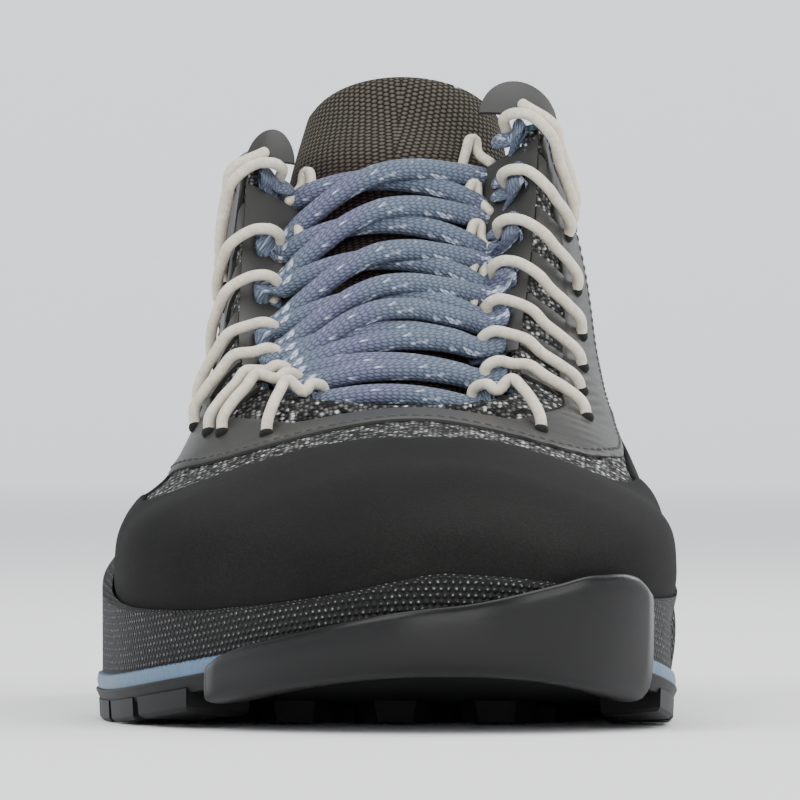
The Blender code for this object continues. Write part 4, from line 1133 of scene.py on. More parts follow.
class Throat:
    """The throat's edge from the lateral top round the front to the medial top, and the face outside it."""

    STEP = 0.001
    REACH = 0.030

    def __init__(self, skin):
        half = [turn_at(along, -1) for along in np.linspace(THROAT_TOP, THROAT_FRONT - THROAT_ROUND, 80)]
        close = THROAT_FRONT - THROAT_ROUND * (1 - np.sin(np.linspace(0, np.pi / 2, 60)[1:]))
        half += [turn_at(along, -1) for along in close]
        turns = np.array(half + [2 - turn for turn in half[::-1]][1:])
        edge = upper_point(turns, 1.0)
        run = distances(edge)
        self.length = run[-1]
        self.count = int(self.length / self.STEP)
        at = np.linspace(0, run[-1], self.count)
        self.edge = places_at(at, run, edge)
        self.run = at
        soft = self.edge.copy()
        soften(soft, 6)
        tangents = np.gradient(soft, axis=0)
        self.tangents = tangents / np.linalg.norm(tangents, axis=1, keepdims=True)
        places, normals = [], []
        steps = int(self.REACH / self.STEP)
        for point, tangent in zip(self.edge, self.tangents):
            _, normal = skin.nearest(point)
            places_here, normals_here = skin.walk(point, np.cross(tangent, normal), self.REACH, steps)
            places.append(places_here)
            normals.append(normals_here)
        self.places, self.normals = np.array(places), np.array(normals)
        soften(self.normals, 3)
        soften(self.places[:, 1:], 3)
        self.front = float(self.run[np.argmin(self.edge[:, 1])])

    def at(self, run, out, lift=0.0):
        """Point a distance along the edge and a distance outside it, lifted off the face."""
        i = np.clip(np.asarray(run, float) / self.length * (self.count - 1), 0, self.count - 1.001)
        j = np.clip(np.asarray(out, float) / self.STEP, 0, self.places.shape[1] - 1.001)
        i, j = np.broadcast_arrays(i, j)
        a, b = i.astype(int), j.astype(int)
        s, t = (i - a)[..., None], (j - b)[..., None]

        def read(table):
            return (
                table[a, b] * (1 - s) * (1 - t)
                + table[a + 1, b] * s * (1 - t)
                + table[a, b + 1] * (1 - s) * t
                + table[a + 1, b + 1] * s * t
            )

        return read(self.places) + read(self.normals) * np.asarray(lift, float)[..., None]

    def run_of(self, point):
        return float(self.run[np.argmin(np.linalg.norm(self.edge - point, axis=1))])


SHARED = {}


def shared(name, maker):
    """Something that several pieces need, made once."""
    if name not in SHARED:
        SHARED[name] = maker()
    return SHARED[name]


def skin():
    return shared("skin", upper_skin)


def throat():
    return shared("throat", lambda: Throat(skin()))


def tongue_face():
    return shared("tongue", tongue_skin)


def fine_turns(step=FINE):
    """Turns round the shoe at even steps, closer where the throat closes."""
    count = int(0.32 / step)
    half = list(np.linspace(0, 1, count))
    close = THROAT_FRONT - THROAT_ROUND * (1 - np.sin(np.linspace(0, np.pi / 2, 16)[1:]))
    half += [turn_at(along, -1) for along in close]
    half += [turn_at(along, -1) for along in (RAND_JOINT - JOINT_HALF, RAND_JOINT + JOINT_HALF, RAND_PEAK)]
    half = sorted(half)
    fixed = {turn_at(THROAT_FRONT, -1), turn_at(RAND_JOINT - JOINT_HALF, -1), turn_at(RAND_JOINT + JOINT_HALF, -1)}
    kept = [half[0]]
    for turn in half[1:]:
        if turn - kept[-1] > 0.0008 or turn in fixed:
            kept.append(turn)
    return turns_round(kept)


def from_nodes(name, points, edges, sizes, look, draw):
    """A plain mesh that a node tree sets out along routes or at points, from named sizes."""
    mesh = bpy.data.meshes.new(name)
    mesh.from_pydata(points, edges, [])
    made = bpy.data.objects.new(name, mesh)
    bpy.context.scene.collection.objects.link(made)
    tree = bpy.data.node_groups.new(name + "_tree", "GeometryNodeTree")
    face = tree.interface
    face.new_socket("Geometry", in_out="INPUT", socket_type="NodeSocketGeometry")
    face.new_socket("Geometry", in_out="OUTPUT", socket_type="NodeSocketGeometry")
    sockets = {key: face.new_socket(key, in_out="INPUT", socket_type="NodeSocketFloat") for key in sizes}
    source, sink = add_node(tree, "NodeGroupInput"), add_node(tree, "NodeGroupOutput")
    spread = add_node(tree, "GeometryNodeInstanceOnPoints", draw(tree, source.outputs))
    real = add_node(tree, "GeometryNodeRealizeInstances", {0: spread.outputs[0]})
    painted = add_node(tree, "GeometryNodeSetMaterial", {"Geometry": real.outputs[0], "Material": look})
    tree.links.new(painted.outputs[0], sink.inputs[0])
    modifier = made.modifiers.new(name, "NODES")
    modifier.node_group = tree
    for key, socket in sockets.items():
        modifier[socket.identifier] = sizes[key]
    return plain_mesh(made)


def repeat_along(name, routes, look, pitch, length, radius):
    """Stitches along routes: a small rounded bar at even steps, turned along the route."""
    points, edges = [], []
    for route in routes:
        start = len(points)
        points += [tuple(point) for point in route]
        edges += [(start + k, start + k + 1) for k in range(len(route) - 1)]

    def draw(tree, given):
        curve = add_node(tree, "GeometryNodeMeshToCurve", {0: given[0]})
        inputs = {"Curve": curve.outputs[0], "Length": given["Pitch"]}
        even = add_node(tree, "GeometryNodeResampleCurve", inputs, mode="LENGTH")
        bar = add_node(tree, "GeometryNodeMeshUVSphere", {"Segments": 8, "Rings": 5, "Radius": 1.0})
        half = calculate(tree, "MULTIPLY", given["Length"], 0.5)
        scale = add_node(tree, "ShaderNodeCombineXYZ", {0: given["Radius"], 1: given["Radius"], 2: half})
        tangent = add_node(tree, "GeometryNodeInputTangent").outputs[0]
        turned = add_node(tree, "FunctionNodeAlignRotationToVector", {"Vector": tangent}, axis="Z")
        return {
            "Points": even.outputs[0],
            "Instance": bar.outputs[0],
            "Rotation": turned.outputs[0],
            "Scale": scale.outputs[0],
        }

    made = from_nodes(name, points, edges, {"Pitch": pitch, "Length": length, "Radius": radius}, look, draw)
    made.data.shade_smooth()
    return made


# Pieces of the upper

def make_upper(context):
    """Knit wall from the sole to the collar and throat."""
    look = knit_finish("upper_knit_yarn", tuple(context.scene.shoe_colours.knit), 0.00085)
    turns = fine_turns()
    shares = np.linspace(0, 1, RIDGE_LEVELS)
    outer = upper_point(turns[:, None], shares[None, :])
    inner = upper_point(turns[:, None], shares[None, ::-3], -WALL)
    inner[:, -1, 2] = outer[:, 0, 2]
    columns = np.concatenate([outer, inner], 1)
    shut = along_at(turns) >= THROAT_FRONT - 1e-6
    crest = RIDGE_LEVELS - 1
    meet_at_ridge(columns, (crest, crest + 1), shut, len(turns))

    def closed(i, k, j):
        return j == crest and shut[i] and shut[k]

    made = build("upper_wall", weave(columns, round_shoe=True, skip=closed), look)
    return settle(made, "upper_knit", "upper")


def round_heel(turns, start, end):
    """Turns from a start on the medial side, round the heel, to an end on the lateral side."""
    return np.concatenate([turns[turns >= start - 1e-9], turns[turns <= end + 1e-9] + 2.0])


def band_columns(turns, low, high, seat, thick, rows, soft=0.0007):
    """Columns of a band with rounded edges that lies on the upper between two heights."""
    length = np.linalg.norm(upper_point(turns, 0.55) - upper_point(turns, 0.45), axis=-1) * 10
    edge = np.minimum(soft / length, (high - low) * 0.3)
    profile = [(low, seat), (low, seat + thick * 0.6), (low + edge * 0.3, seat + thick * 0.9)]
    profile += [(low + edge + (high - low - 2 * edge) * t, seat + thick) for t in np.linspace(0, 1, rows)]
    profile += [(high - edge * 0.3, seat + thick * 0.9), (high, seat + thick * 0.6), (high, seat)]
    profile += [(low + (high - low) * t, seat) for t in np.linspace(0.9, 0.1, rows // 3)]
    span = high - low + 1e-9
    rings = []
    for share, offset in profile:
        near = 1 - 0.72 * np.clip((share - low) / span, 0, 1) ** 0.6
        rings.append(upper_point(turns, share, seat * near + (offset - seat) * (0.45 + 0.55 * near)))
    return np.stack(rings, 1), rows


def make_rand(context):
    """Toe rand: a nubuck cap over the toe that runs back along both sides."""
    look = nubuck_finish("rand_nubuck_nap", tuple(context.scene.shoe_colours.rand))
    turns = fine_turns()
    start, end = turn_at(RAND_JOINT + JOINT_HALF, -1), turn_at(RAND_JOINT + JOINT_HALF, 1)
    turns = turns[(turns >= start - 1e-9) & (turns <= end + 1e-9)]
    low = height_at(turns, by_turn(RIM, turns) - RIM_LAP)
    along = along_at(turns)
    fall = 1 - (RAND_PEAK - along) / CAP_FALL
    side = height_at(turns, by_turn(RAND_TOP, turns))
    high = np.clip(side + (fall - side) * 0.5 * (1 + np.tanh((fall - side) * 14)), side, 1.0)
    even = np.linspace(turns[0], turns[-1], 801)
    window = np.hanning(49) / np.hanning(49).sum()
    soft = np.convolve(np.pad(np.interp(even, turns, high), 24, "edge"), window, "valid")
    high = np.where(along >= RAND_PEAK - 1e-6, 1.0, np.minimum(np.interp(turns, even, soft), 1.0))
    columns, rows = band_columns(turns, low, high, RAND_SEAT, RAND, 30)
    ridge = along >= RAND_PEAK - 1e-6
    crest = 3 + rows
    level_at_ridge = range(crest - 1, crest + 3)
    meet_at_ridge(columns, level_at_ridge, ridge, len(turns) - 1)

    def closed(i, k, j):
        return j in level_at_ridge and j < crest + 2 and ridge[i] and ridge[k]

    return settle(build("toe_rand_cap", weave(columns, skip=closed, caps=True), look), "rand_nubuck", "toe_rand")


def make_wrap(context):
    """Heel wrap: a black film round the heel, with slanting vents cut through each side."""
    look = nubuck_finish("heel_wrap_film", linear(22, 22, 21), 0.00035)
    turns = fine_turns()
    start, end = turn_at(RAND_JOINT - JOINT_HALF, 1), turn_at(RAND_JOINT - JOINT_HALF, -1)
    turns = round_heel(turns, start, end)
    low = height_at(turns, by_turn(RIM, turns) - RIM_LAP)
    high = height_at(turns, by_turn(WRAP_TOP, turns))
    columns, _ = band_columns(turns, low, high, RAND_SEAT, RAND * 0.85, 20)
    made = build("heel_wrap_band", weave(columns, caps=True), look)
    cutters = []
    for side in (-1, 1):
        for place, level, long in VENTS:
            turn = place if side < 0 else 2 - place
            route = []
            for step in np.linspace(-0.5, 0.5, 9):
                share = height_at(turn - side * step * 0.016, level + step * long)
                route.append(upper_point(turn - side * step * 0.016, share, RAND_SEAT + RAND * 0.6))
            cutters.append(cord_columns(np.array(route, float).reshape(-1, 3), 0.00075, 10))
    knife = several_cords("vent_knife", cutters, look)
    cut = made.modifiers.new("vents", "BOOLEAN")
    cut.operation = "DIFFERENCE"
    cut.object = knife
    cut.solver = "MANIFOLD"
    plain_mesh(made)
    if not made.data.polygons:
        raise RuntimeError("the vents could not be cut")
    bpy.data.objects.remove(knife, do_unlink=True)
    return settle(made, "wrap_film", "heel_wrap")


def film_strip(runs, inner, outer, lift, thick, rows):
    """Strip of film round the throat, between two distances outside its edge."""
    edge = 0.0005
    profile = [(inner, lift), (inner, lift + thick * 0.6), (inner + edge, lift + thick)]
    profile += [(inner + edge + (outer - inner - 2 * edge) * t, lift + thick) for t in np.linspace(0, 1, rows)[1:-1]]
    profile += [(outer - edge, lift + thick), (outer, lift + thick * 0.6), (outer, lift)]
    profile += [(inner + (outer - inner) * t, lift) for t in np.linspace(0.85, 0.15, 4)]
    columns = np.stack([throat().at(runs, out, np.full(runs.shape, up)) for out, up in profile], 1)
    return weave(columns, caps=True)


def film_edges(run):
    """How far outside the throat's edge the film begins and ends, along the edge."""
    total, front = throat().length, throat().front
    share = np.where(run < front, run / front, (total - run) / (total - front))
    return smooth(FILM, share, 1), smooth(FILM, share, 2)


def make_film(context):
    """Film round the throat: a horseshoe with fingers to the edge."""
    sizes = context.scene.shoe_sizes
    look = film_finish("throat_film", tuple(context.scene.shoe_colours.film), ribs=True)
    total = throat().length
    runs = np.linspace(0.0005, total - 0.0005, int(total / 0.0009))
    inner, outer = film_edges(runs)
    parts = [film_strip(runs, inner, outer, 0.0001, sizes.film, 22)]
    for side in (-1, 1):
        places = [eyelet_run(side, number) for number in range(7)]
        for k in range(6):
            middle, wide = (places[k] + places[k + 1]) / 2, abs(places[k] - places[k + 1]) * 0.52
            piece = np.linspace(middle - wide / 2, middle + wide / 2, 9)
            begin, _ = film_edges(piece)
            parts.append(film_strip(piece, np.full(9, 0.0006), begin + 0.0008, 0.00005, sizes.film * 0.8, 10))
    return settle(build("throat_film_band", joined(parts), look), "wrap_film")


def eyelet_run(side, number):
    """Where an eyelet lies along the throat's edge."""
    return throat().run_of(upper_point(turn_at(EYELETS[side][number], side), 1.0))


def throat_frame(run):
    """Edge point, the way up along it, the way inwards over the tongue and the way out of the face."""
    frame_run = np.array(float(run))
    point = throat().at(frame_run, 0.0)
    tangent = throat().at(frame_run + 0.001, 0.0) - throat().at(frame_run - 0.001, 0.0)
    tangent /= np.linalg.norm(tangent)
    if tangent[2] < 0:
        tangent = -tangent
    centre = np.array((smooth(RIDGE, along_of(point[1])) * BALL_WIDTH / 2, point[1], point[2] + 0.012))
    inwards = centre - point
    inwards -= tangent * np.dot(inwards, tangent)
    inwards /= np.linalg.norm(inwards)
    lift = np.cross(tangent, inwards)
    if lift[2] < 0:
        lift = -lift
    return point, tangent, inwards, lift


def flap_point(run, reach, lift=0.0):
    """Point of the flap that runs from the throat's edge inwards, over the tongue."""
    point, _, inwards, _ = throat_frame(run)
    target, normal = tongue_face().nearest(point + inwards * max(reach, 0.0005))
    share = min(max(reach, 0.0) / 0.004, 1.0)
    share = share * share * (3 - 2 * share)
    base = point + inwards * max(reach, 0.0)
    seat = target + normal * 0.0006
    return base + (seat - base) * share + normal * lift


def make_flaps(context):
    """Film flaps along the throat's edge, over the tongue, that carry the cord hooks, and the top tabs."""
    look = film_finish("flap_film", linear(48, 48, 46), 0.42)
    thick = 0.0007
    parts = []
    for side in (-1, 1):
        first, last = eyelet_run(side, 0), eyelet_run(side, 5)
        places = [eyelet_run(side, number) for number in range(6)]
        columns = []
        for run in np.linspace(first, last, 90):
            near = min(abs(run - place) for place in places)
            reach = 0.0098 - 0.0022 * min(near / 0.006, 1.0) ** 2
            steps = np.linspace(-0.0005, reach, 9)
            top = [flap_point(run, step, thick) for step in steps]
            low = [flap_point(run, step, 0.0) for step in steps[::-1]]
            columns.append(top + low)
        parts.append(weave(np.array(columns), caps=True))
        point, up, inwards, out = throat_frame(first)
        centre = point + up * 0.0035 + inwards * 0.0035
        columns = []
        for angle in np.linspace(0, math.pi, 25):
            tall, wide = (0.0092, 0.0072) if side > 0 else (0.0078, 0.0046)
            reach_up, reach_in = tall * math.sin(angle), wide * math.cos(angle)
            steps = np.linspace(0.02, 1, 7)
            rim = [
                centre + up * reach_up * t + inwards * reach_in * t + out * (0.0009 - 0.0016 * t * t)
                for t in steps
            ]
            columns.append([place + out * thick for place in rim] + rim[::-1])
        parts.append(weave(np.array(columns), caps=True))
    return settle(build("throat_flaps", joined(parts), look), "wrap_film")


def make_collar_panel(context):
    """Smooth panel round the collar, above the heel wrap, with a seam down the back."""
    look = film_finish("collar_panel_film", linear(60, 60, 60), 0.46)
    turns = fine_turns()
    ends = turn_at(0.375, -1)
    turns = round_heel(turns, 2 - ends, ends)
    away = np.minimum(turns - turns[0], turns[-1] - turns)
    low = height_at(turns, by_turn(WRAP_TOP, turns) - 0.003)
    high = np.full(turns.shape, 0.985)
    near = np.clip(1 - away / 0.05, 0, 1)
    low = low + (0.90 - low) * near**1.6
    columns, _ = band_columns(turns, low, high, 0.00008, 0.00065, 18)
    groove = np.exp(-(((turns - 2.0) / 0.0045) ** 2))
    seam = upper_point(turns, 0.7) - upper_point(turns, 0.7, 0.001)
    columns += (seam * groove[:, None])[:, None] * 0.55
    return settle(build("collar_panel", weave(columns, caps=True), look), "upper_knit")


def collar_stitch_z(turns):
    """Height of the collar's lower stitch row round the heel, the same on both sides."""
    near = np.minimum(np.mod(turns, 2.0), 2 - np.mod(turns, 2.0))
    rows = (
        (0.0, 0.0822), (0.05, 0.0812), (0.10, 0.0765), (0.16, 0.0712),
        (0.24, 0.0672), (0.32, 0.0672), (0.40, 0.0735),
    )
    return smooth(rows, near)


def make_stitches(context):
    """Rows of stitches: round the collar, along the throat's film and round its front."""
    sizes = context.scene.shoe_sizes
    thread = plain_finish("stitch_thread", linear(150, 150, 148), 0.75)
    turns = np.linspace(2 - 0.375, 2.375, 400)
    routes = []
    for rise in (0.0, 0.0030):
        shares = height_at(turns, collar_stitch_z(turns) + rise)
        routes.append(upper_point(turns, shares, 0.0007))
    made = repeat_along("collar_stitches", routes, thread, sizes.stitch, sizes.stitch * 0.78, sizes.thread / 2)
    settle(made, "upper_knit")
    dark = plain_finish("film_thread", linear(58, 58, 56), 0.7)
    total = throat().length
    runs = np.linspace(0.01, total - 0.01, 500)
    _, outer = film_edges(runs)
    route = throat().at(runs, outer - 0.0016, np.full(runs.shape, sizes.film + 0.0001))
    made = repeat_along("film_stitches", [route], dark, sizes.stitch * 0.8, sizes.stitch * 0.55, sizes.thread / 2.4)
    settle(made, "wrap_film")


def make_lining(context):
    """Padded collar lining, rolled over the collar's edge."""
    look = honeycomb_finish("collar_honeycomb", tuple(context.scene.shoe_colours.lining), 0.0021, 0.44, 0.16)
    turns = fine_turns()
    start, end = turn_at(THROAT_TOP, 1), turn_at(THROAT_TOP, -1)
    turns = round_heel(turns, start, end)
    skin_side = -(WALL + GAP)
    length = np.linalg.norm(upper_point(turns, 1.0) - upper_point(turns, 0.5), axis=-1)
    foot = np.clip(1 - 0.5 * LINING_DEPTH / length, 0.36, 0.6)
    ends = np.minimum(turns - turns[0], turns[-1] - turns)
    puff = 0.55 + 0.45 * np.clip(ends / 0.05, 0, 1) ** 0.5
    edge = np.ones(turns.shape)
    profile = [(foot + (1 - foot) * t, skin_side) for t in np.linspace(0, 1, 8)]
    roll = LINING_ROLL
    knots = [
        (past_edge(turns, GAP * 0.5), skin_side),
        (past_edge(turns, GAP), -GAP),
        (past_edge(turns, -roll * 0.50), GAP * 3.4),
        (past_edge(turns, roll * 0.25), GAP * 4.2),
        (past_edge(turns, roll * 0.95), -GAP),
        (past_edge(turns, roll * 1.20), -WALL * 0.8),
        (past_edge(turns, roll * 1.15), skin_side - LINING * 0.35),
        (past_edge(turns, roll * 0.55), skin_side - LINING * 0.85 * puff),
        (edge - 0.06, skin_side - LINING * 1.12 * puff),
        (edge - 0.14, skin_side - LINING * 1.05 * puff),
        (edge * 0.78, skin_side - LINING * 0.95 * puff),
        ((foot + 0.7) / 2, skin_side - LINING * 0.85),
        (foot + 0.02, skin_side - LINING * 0.55),
        (foot, skin_side - LINING * 0.2),
    ]
    rings = [upper_point(turns, share, offset) for share, offset in profile + knots]
    made = build("collar_padding", weave(np.stack(rings, 1), caps=True), look)
    rounded(made)
    settle(made, "lining_knit", "collar_lining")


def make_tongue(context):
    """Padded tongue: dark mesh outside, honeycomb mesh inside and a bound rim."""
    colours = context.scene.shoe_colours
    outside = herringbone_finish("tongue_mesh_weave", linear(84, 79, 71), linear(58, 45, 43))
    inside = honeycomb_finish("tongue_honeycomb", tuple(colours.lining), 0.0034, 0.40, 0.06)
    places, across = np.linspace(0, 1, 90), np.linspace(-1, 1, 44)
    columns = []
    for at in places:
        thick = TONGUE * (0.45 + 0.55 * math.sin(math.pi * min(at * 1.1, 1) * 0.5))
        row = []
        for x in across:
            swell = 0.0009 * (1 - abs(x) ** 3) * math.sin(math.pi * min(at, 1.0)) ** 0.5
            crease = 0.00035 * math.sin(at * 46 + 2.1 * x) * (1 - x * x)
            row.append(tongue_point(at, x, swell + crease - 0.0006))
        for x in across[::-1]:
            row.append(tongue_point(at, x, -thick * (1 - 0.72 * abs(x) ** 6)))
        columns.append(row)
    columns = np.array(columns)
    half = len(across)
    middle = (columns[-1][:half] + columns[-1][half:][::-1]) / 2
    for share, rise in ((0.55, 0.0011), (0.12, 0.0018)):
        _, outward, _, _ = tongue_frame(1.0)
        up = np.cross((1.0, 0.0, 0.0), outward)
        up = up if up[2] > 0 else -up
        cap = [middle[k] + (columns[89][k] - middle[k]) * share + up * rise for k in range(half)]
        cap += [middle[::-1][k] + (columns[89][half + k] - middle[::-1][k]) * share + up * rise for k in range(half)]
        columns = np.concatenate([columns, [cap]])
    points, faces, _ = weave(columns, caps=True)
    run = distances(columns[:, half // 2])
    spread = np.concatenate([across, across[::-1]]) * 0.030
    deep = 2 * half
    pattern = []
    for face in faces:
        pattern += [(spread[index % deep], run[index // deep]) for index in face]
    made = build("tongue_pad", (points, faces, pattern), [outside, inside])
    outward = Vector(tongue_frame(0.9)[1])
    for polygon in made.data.polygons:
        if polygon.normal.dot(outward) < -0.1:
            polygon.material_index = 1
    rounded(made)
    settle(made, "tongue_mesh", "tongue")
    rim = [tongue_point(1.0, x, -0.0020) for x in np.linspace(-0.98, 0.98, 60)]
    rim_look = knit_finish("tongue_rim_yarn", linear(118, 116, 112), 0.0009, 0.75)
    binding = several_cords("tongue_rim", [cord_columns(np.array(rim), 0.0012, 12)], rim_look)
    settle(binding, "tongue_mesh")


def make_insole(context):
    """Insole on the midsole's floor."""
    look = plain_finish("insole_felt", linear(58, 56, 58), 0.92, 0.0, 1400.0, 0.4)
    turns = fine_turns(0.004)
    floor = board(along_at(turns))
    inset = -(WALL + 2 * GAP)
    foot = upper_point(turns, 0.0, inset)
    foot[:, 2] = floor
    rim = upper_point(turns, height_at(turns, floor + INSOLE), inset)
    rim[:, 2] = floor + INSOLE * 0.8
    crown = rim * (1, 1, 0) * (0.985, 0.995, 0) + np.stack([0 * floor, 0 * floor, floor + INSOLE], 1)
    return settle(build("insole_bed", ring(np.stack([foot, rim, crown], 1)), look), "insole_cloth", "insole")


# Laces and cords

def eyelet(side, number):
    """Place where a lace turns round its eyelet, just past the throat's edge."""
    turn = turn_at(EYELETS[side][number], side)
    depth = WALL * (1.3 - 0.9 * number / (len(EYELETS[side]) - 1))
    return upper_point(turn, past_edge(turn, LACE / 2 + 4 * GAP), -depth)


def tongue_at(point):
    """Place along the tongue whose section passes through a point."""
    return min(
        np.linspace(0.05, 0.95, 91),
        key=lambda at: abs(np.dot(point - tongue_frame(at)[0], np.cross(tongue_frame(at)[1], (1.0, 0.0, 0.0)))),
    )


def strand(lateral, medial, over, wide):
    """Route of one strand over the tongue, and the way out of the tongue along it."""
    first, last = eyelet(-1, lateral), eyelet(1, medial)
    start, end = tongue_at(first), tongue_at(last)
    route, outs = [first], []
    for share in np.linspace(0.12, 0.88, 9):
        at = start + (end - start) * share
        bow = math.exp(-(((share - 0.5) / 0.20) ** 2))
        lift = 0.0006 + wide * 0.44 + over * bow
        edge = min(share, 1 - share)
        lift += 0.0012 * math.exp(-((edge / 0.16) ** 2))
        route.append(tongue_point(at, (share - 0.5) * 1.62, lift))
    ends = []
    for side, number, other, spot in ((-1, lateral, medial, first), (1, medial, lateral, last)):
        _, up, inwards, out = throat_frame(eyelet_run(side, number))
        shift = up * (0.0014 if other < number else -0.0014 if other > number else 0.0)
        rim = spot + shift - inwards * 0.0004
        ends.append([rim, rim - out * 0.0022 - inwards * 0.0002, rim - out * 0.0040 + inwards * 0.0022])
    path = even_path(ends[0][::-1] + route[1:] + ends[1], 76)
    for point in path:
        _, normal = tongue_face().nearest(point)
        outs.append(normal)
    outs = np.array(outs)
    soften(outs, 6)
    return path, outs


def make_laces(context):
    """The lace, in fourteen strands that cross over the tongue and turn round the eyelets."""
    width = context.scene.shoe_sizes.lace
    look = braid_finish("lace_braid_yarn", tuple(context.scene.shoe_colours.lace))
    groups = []
    for lateral, medial in STRANDS:
        over = width * 0.66 if lateral > medial else 0.0
        path, outs = strand(lateral, medial, over, width)
        groups.append(cord_columns(path, width / 2, 18, outs, 0.84))
    return settle(several_cords("lace_strands", groups, look), "lace_braid", "laces", "lace_bar")


def make_eye_cords(context):
    """Cream cords, each from its hole in the film, round the lace and down through the flap."""
    sizes = context.scene.shoe_sizes
    size, width, film = sizes.cord, sizes.lace, sizes.film
    look = plain_finish("eyelet_cord_cream", tuple(context.scene.shoe_colours.cord), 0.55, 0.05, 900.0, 0.1)
    groups, holes = [], []
    for side in (-1, 1):
        front_way = 1 if side < 0 else -1
        for number in range(8):
            run = eyelet_run(side, number)
            spot = eyelet(side, number)
            _, up, inwards, out = throat_frame(run)
            inner, _ = film_edges(np.array(run))
            reach = float(inner) + 0.0042
            far = run + front_way * (0.0028 if number < 7 else 0.0034)
            if number == 0:
                reach += 0.008
                far = run + front_way * 0.010
            hole, on_film, above = (
                throat().at(np.array(far), reach, np.array(film + lift)) for lift in (-0.0010, 0.00012, 0.004)
            )
            holes.append((on_film, above))
            shares = ((0.05, 0.0004), (0.16, 0.0016), (0.45, 0.0021), (0.75, 0.0021), (1.0, 0.0024))
            route = [hole]
            for share, lift in shares:
                there = far + (run - far) * share
                route.append(throat().at(np.array(there), reach * (1 - share) + 0.0002, np.array(film + lift)))
            over = width / 2 * 0.84 + size / 2
            route += [
                spot + out * over * 0.95 - inwards * 0.0012,
                spot + out * over * 0.80 + inwards * 0.0010,
                spot - out * 0.0004 + inwards * (width / 2 + size * 0.2),
                spot - out * 0.0030 + inwards * 0.0012,
            ]
            if number < (5 if side > 0 else 3):
                hook = [
                    flap_point(run, 0.0026, 0.0006) + up * 0.0008,
                    flap_point(run, 0.0040, 0.0014) + up * 0.0050,
                    flap_point(run, 0.0052, 0.0016) + up * 0.0074,
                    flap_point(run, 0.0066, 0.0016) + up * 0.0070,
                    flap_point(run, 0.0072, 0.0012) + up * 0.0044,
                    flap_point(run, 0.0070, 0.0000) + up * 0.0016,
                ]
                groups.append(cord_columns(even_path(hook, 30), size / 2 * 0.92, 12))
            groups.append(cord_columns(even_path(route, 46), size / 2, 12))
            if number == 0:
                second = [place + up * 0.0026 + out * 0.0002 for place in route[:6]]
                second.append(spot + out * over * 0.9 + up * 0.0022)
                groups.append(cord_columns(even_path(second, 34), size / 2, 12))
    made = several_cords("eyelet_cords", groups, look)
    nodes = ["lace_cord_%s%d" % (letter, k) for letter in "lm" for k in range(1, 9)]
    settle(made, "eye_cord", *nodes)
    dark = plain_finish("cord_hole_shade", grey(12), 0.9)
    rims = []
    for place, above in holes:
        way = (above - place) / np.linalg.norm(above - place)
        rims.append(cord_columns(np.array([place - way * 0.0004, place, place + way * 0.00012]), size * 0.62, 12))
    settle(several_cords("cord_holes", rims, dark), "wrap_film")


def make_pull_loop(context):
    """Pull loop at the heel: cord ends with beads and a glossy sleeve."""
    cream = plain_finish("loop_cord_cream", tuple(context.scene.shoe_colours.cord), 0.5, 0.1, 900.0, 0.1)
    gloss = plain_finish("sleeve_black", grey(20), 0.22, 0.3, 500.0, 0.2)
    bead_look = plain_finish("bead_cream", linear(232, 226, 208), 0.4, 0.15, 700.0, 0.05)
    back = LENGTH / 2 - UPPER_HEEL_INSET
    arch = []
    for side in (-1, -0.55, 0, 0.55, 1):
        lift = (1 - abs(side) ** 2.2) * LOOP_RISE
        arch.append((side * LOOP_SLEEVE, back + LOOP_STAND, LOOP_TOP - LOOP_RISE + lift))
    bend = even_path(arch, 60)
    ripple = 1 + 0.035 * np.sin(np.linspace(0, 26, 60)) + 0.02 * np.sin(np.linspace(2, 61, 60))
    columns = cord_columns(bend, LOOP_CORD / 2 + GAP + SLEEVE_WALL, 20)
    centres = np.concatenate([[bend[0]] * 4, bend, [bend[-1]] * 4])
    swell = np.concatenate([[1] * 4, ripple, [1] * 4])
    columns = centres[:, None] + (columns - centres[:, None]) * swell[:, None, None]
    settle(several_cords("loop_sleeve", [columns], gloss), "sleeve_gloss", "pull_loop_sleeve")
    away = (bend[-1] - bend[-2]) / np.linalg.norm(bend[-1] - bend[-2])
    for side, name in ((-1, "lateral"), (1, "medial")):
        reach = (0.0 if side < 0 else 2.0) - side * LOOP_BEAD_TURN
        share = float(height_at(reach, LOOP_BEAD_Z))
        seat = upper_point(reach, share, 0.0006)
        crown = upper_point(reach, share, GAP + LOOP_BEAD_HIGH)
        way = (crown - seat) / np.linalg.norm(crown - seat)
        bead = []
        across = np.cross(way, (0, 0, 1))
        across /= np.linalg.norm(across)
        angles = np.linspace(0, 2 * math.pi, 29)[:-1, None]
        circle = np.cos(angles) * across + np.sin(angles) * np.cross(way, across)
        for radius, height in BEAD:
            bead.append(seat + way * height + radius * circle)
        made = build("loop_bead_" + name, weave(np.array(bead), caps=True), bead_look, 60)
        settle(made, "bead_plastic", "pull_loop_bead_" + name)
        top = crown + way * (GAP + LOOP_CORD / 2 - 0.0010)
        route = [
            top - way * 0.0018,
            top + np.array((side * 0.0003, 0.0, 0.0004)),
            top + np.array((side * 0.0022, 0.0006, 0.0034)),
            (side * LOOP_BULGE, back + LOOP_STAND, LOOP_BULGE_Z),
            (bend[-1] - away * 0.002) * (side, 1, 1),
        ]
        columns = cord_columns(even_path(route, 40), LOOP_CORD / 2 * 1.08, 16)
        settle(several_cords("loop_cord_" + name, [columns], cream), "eye_cord", "pull_loop_cord_" + name)


# Sole

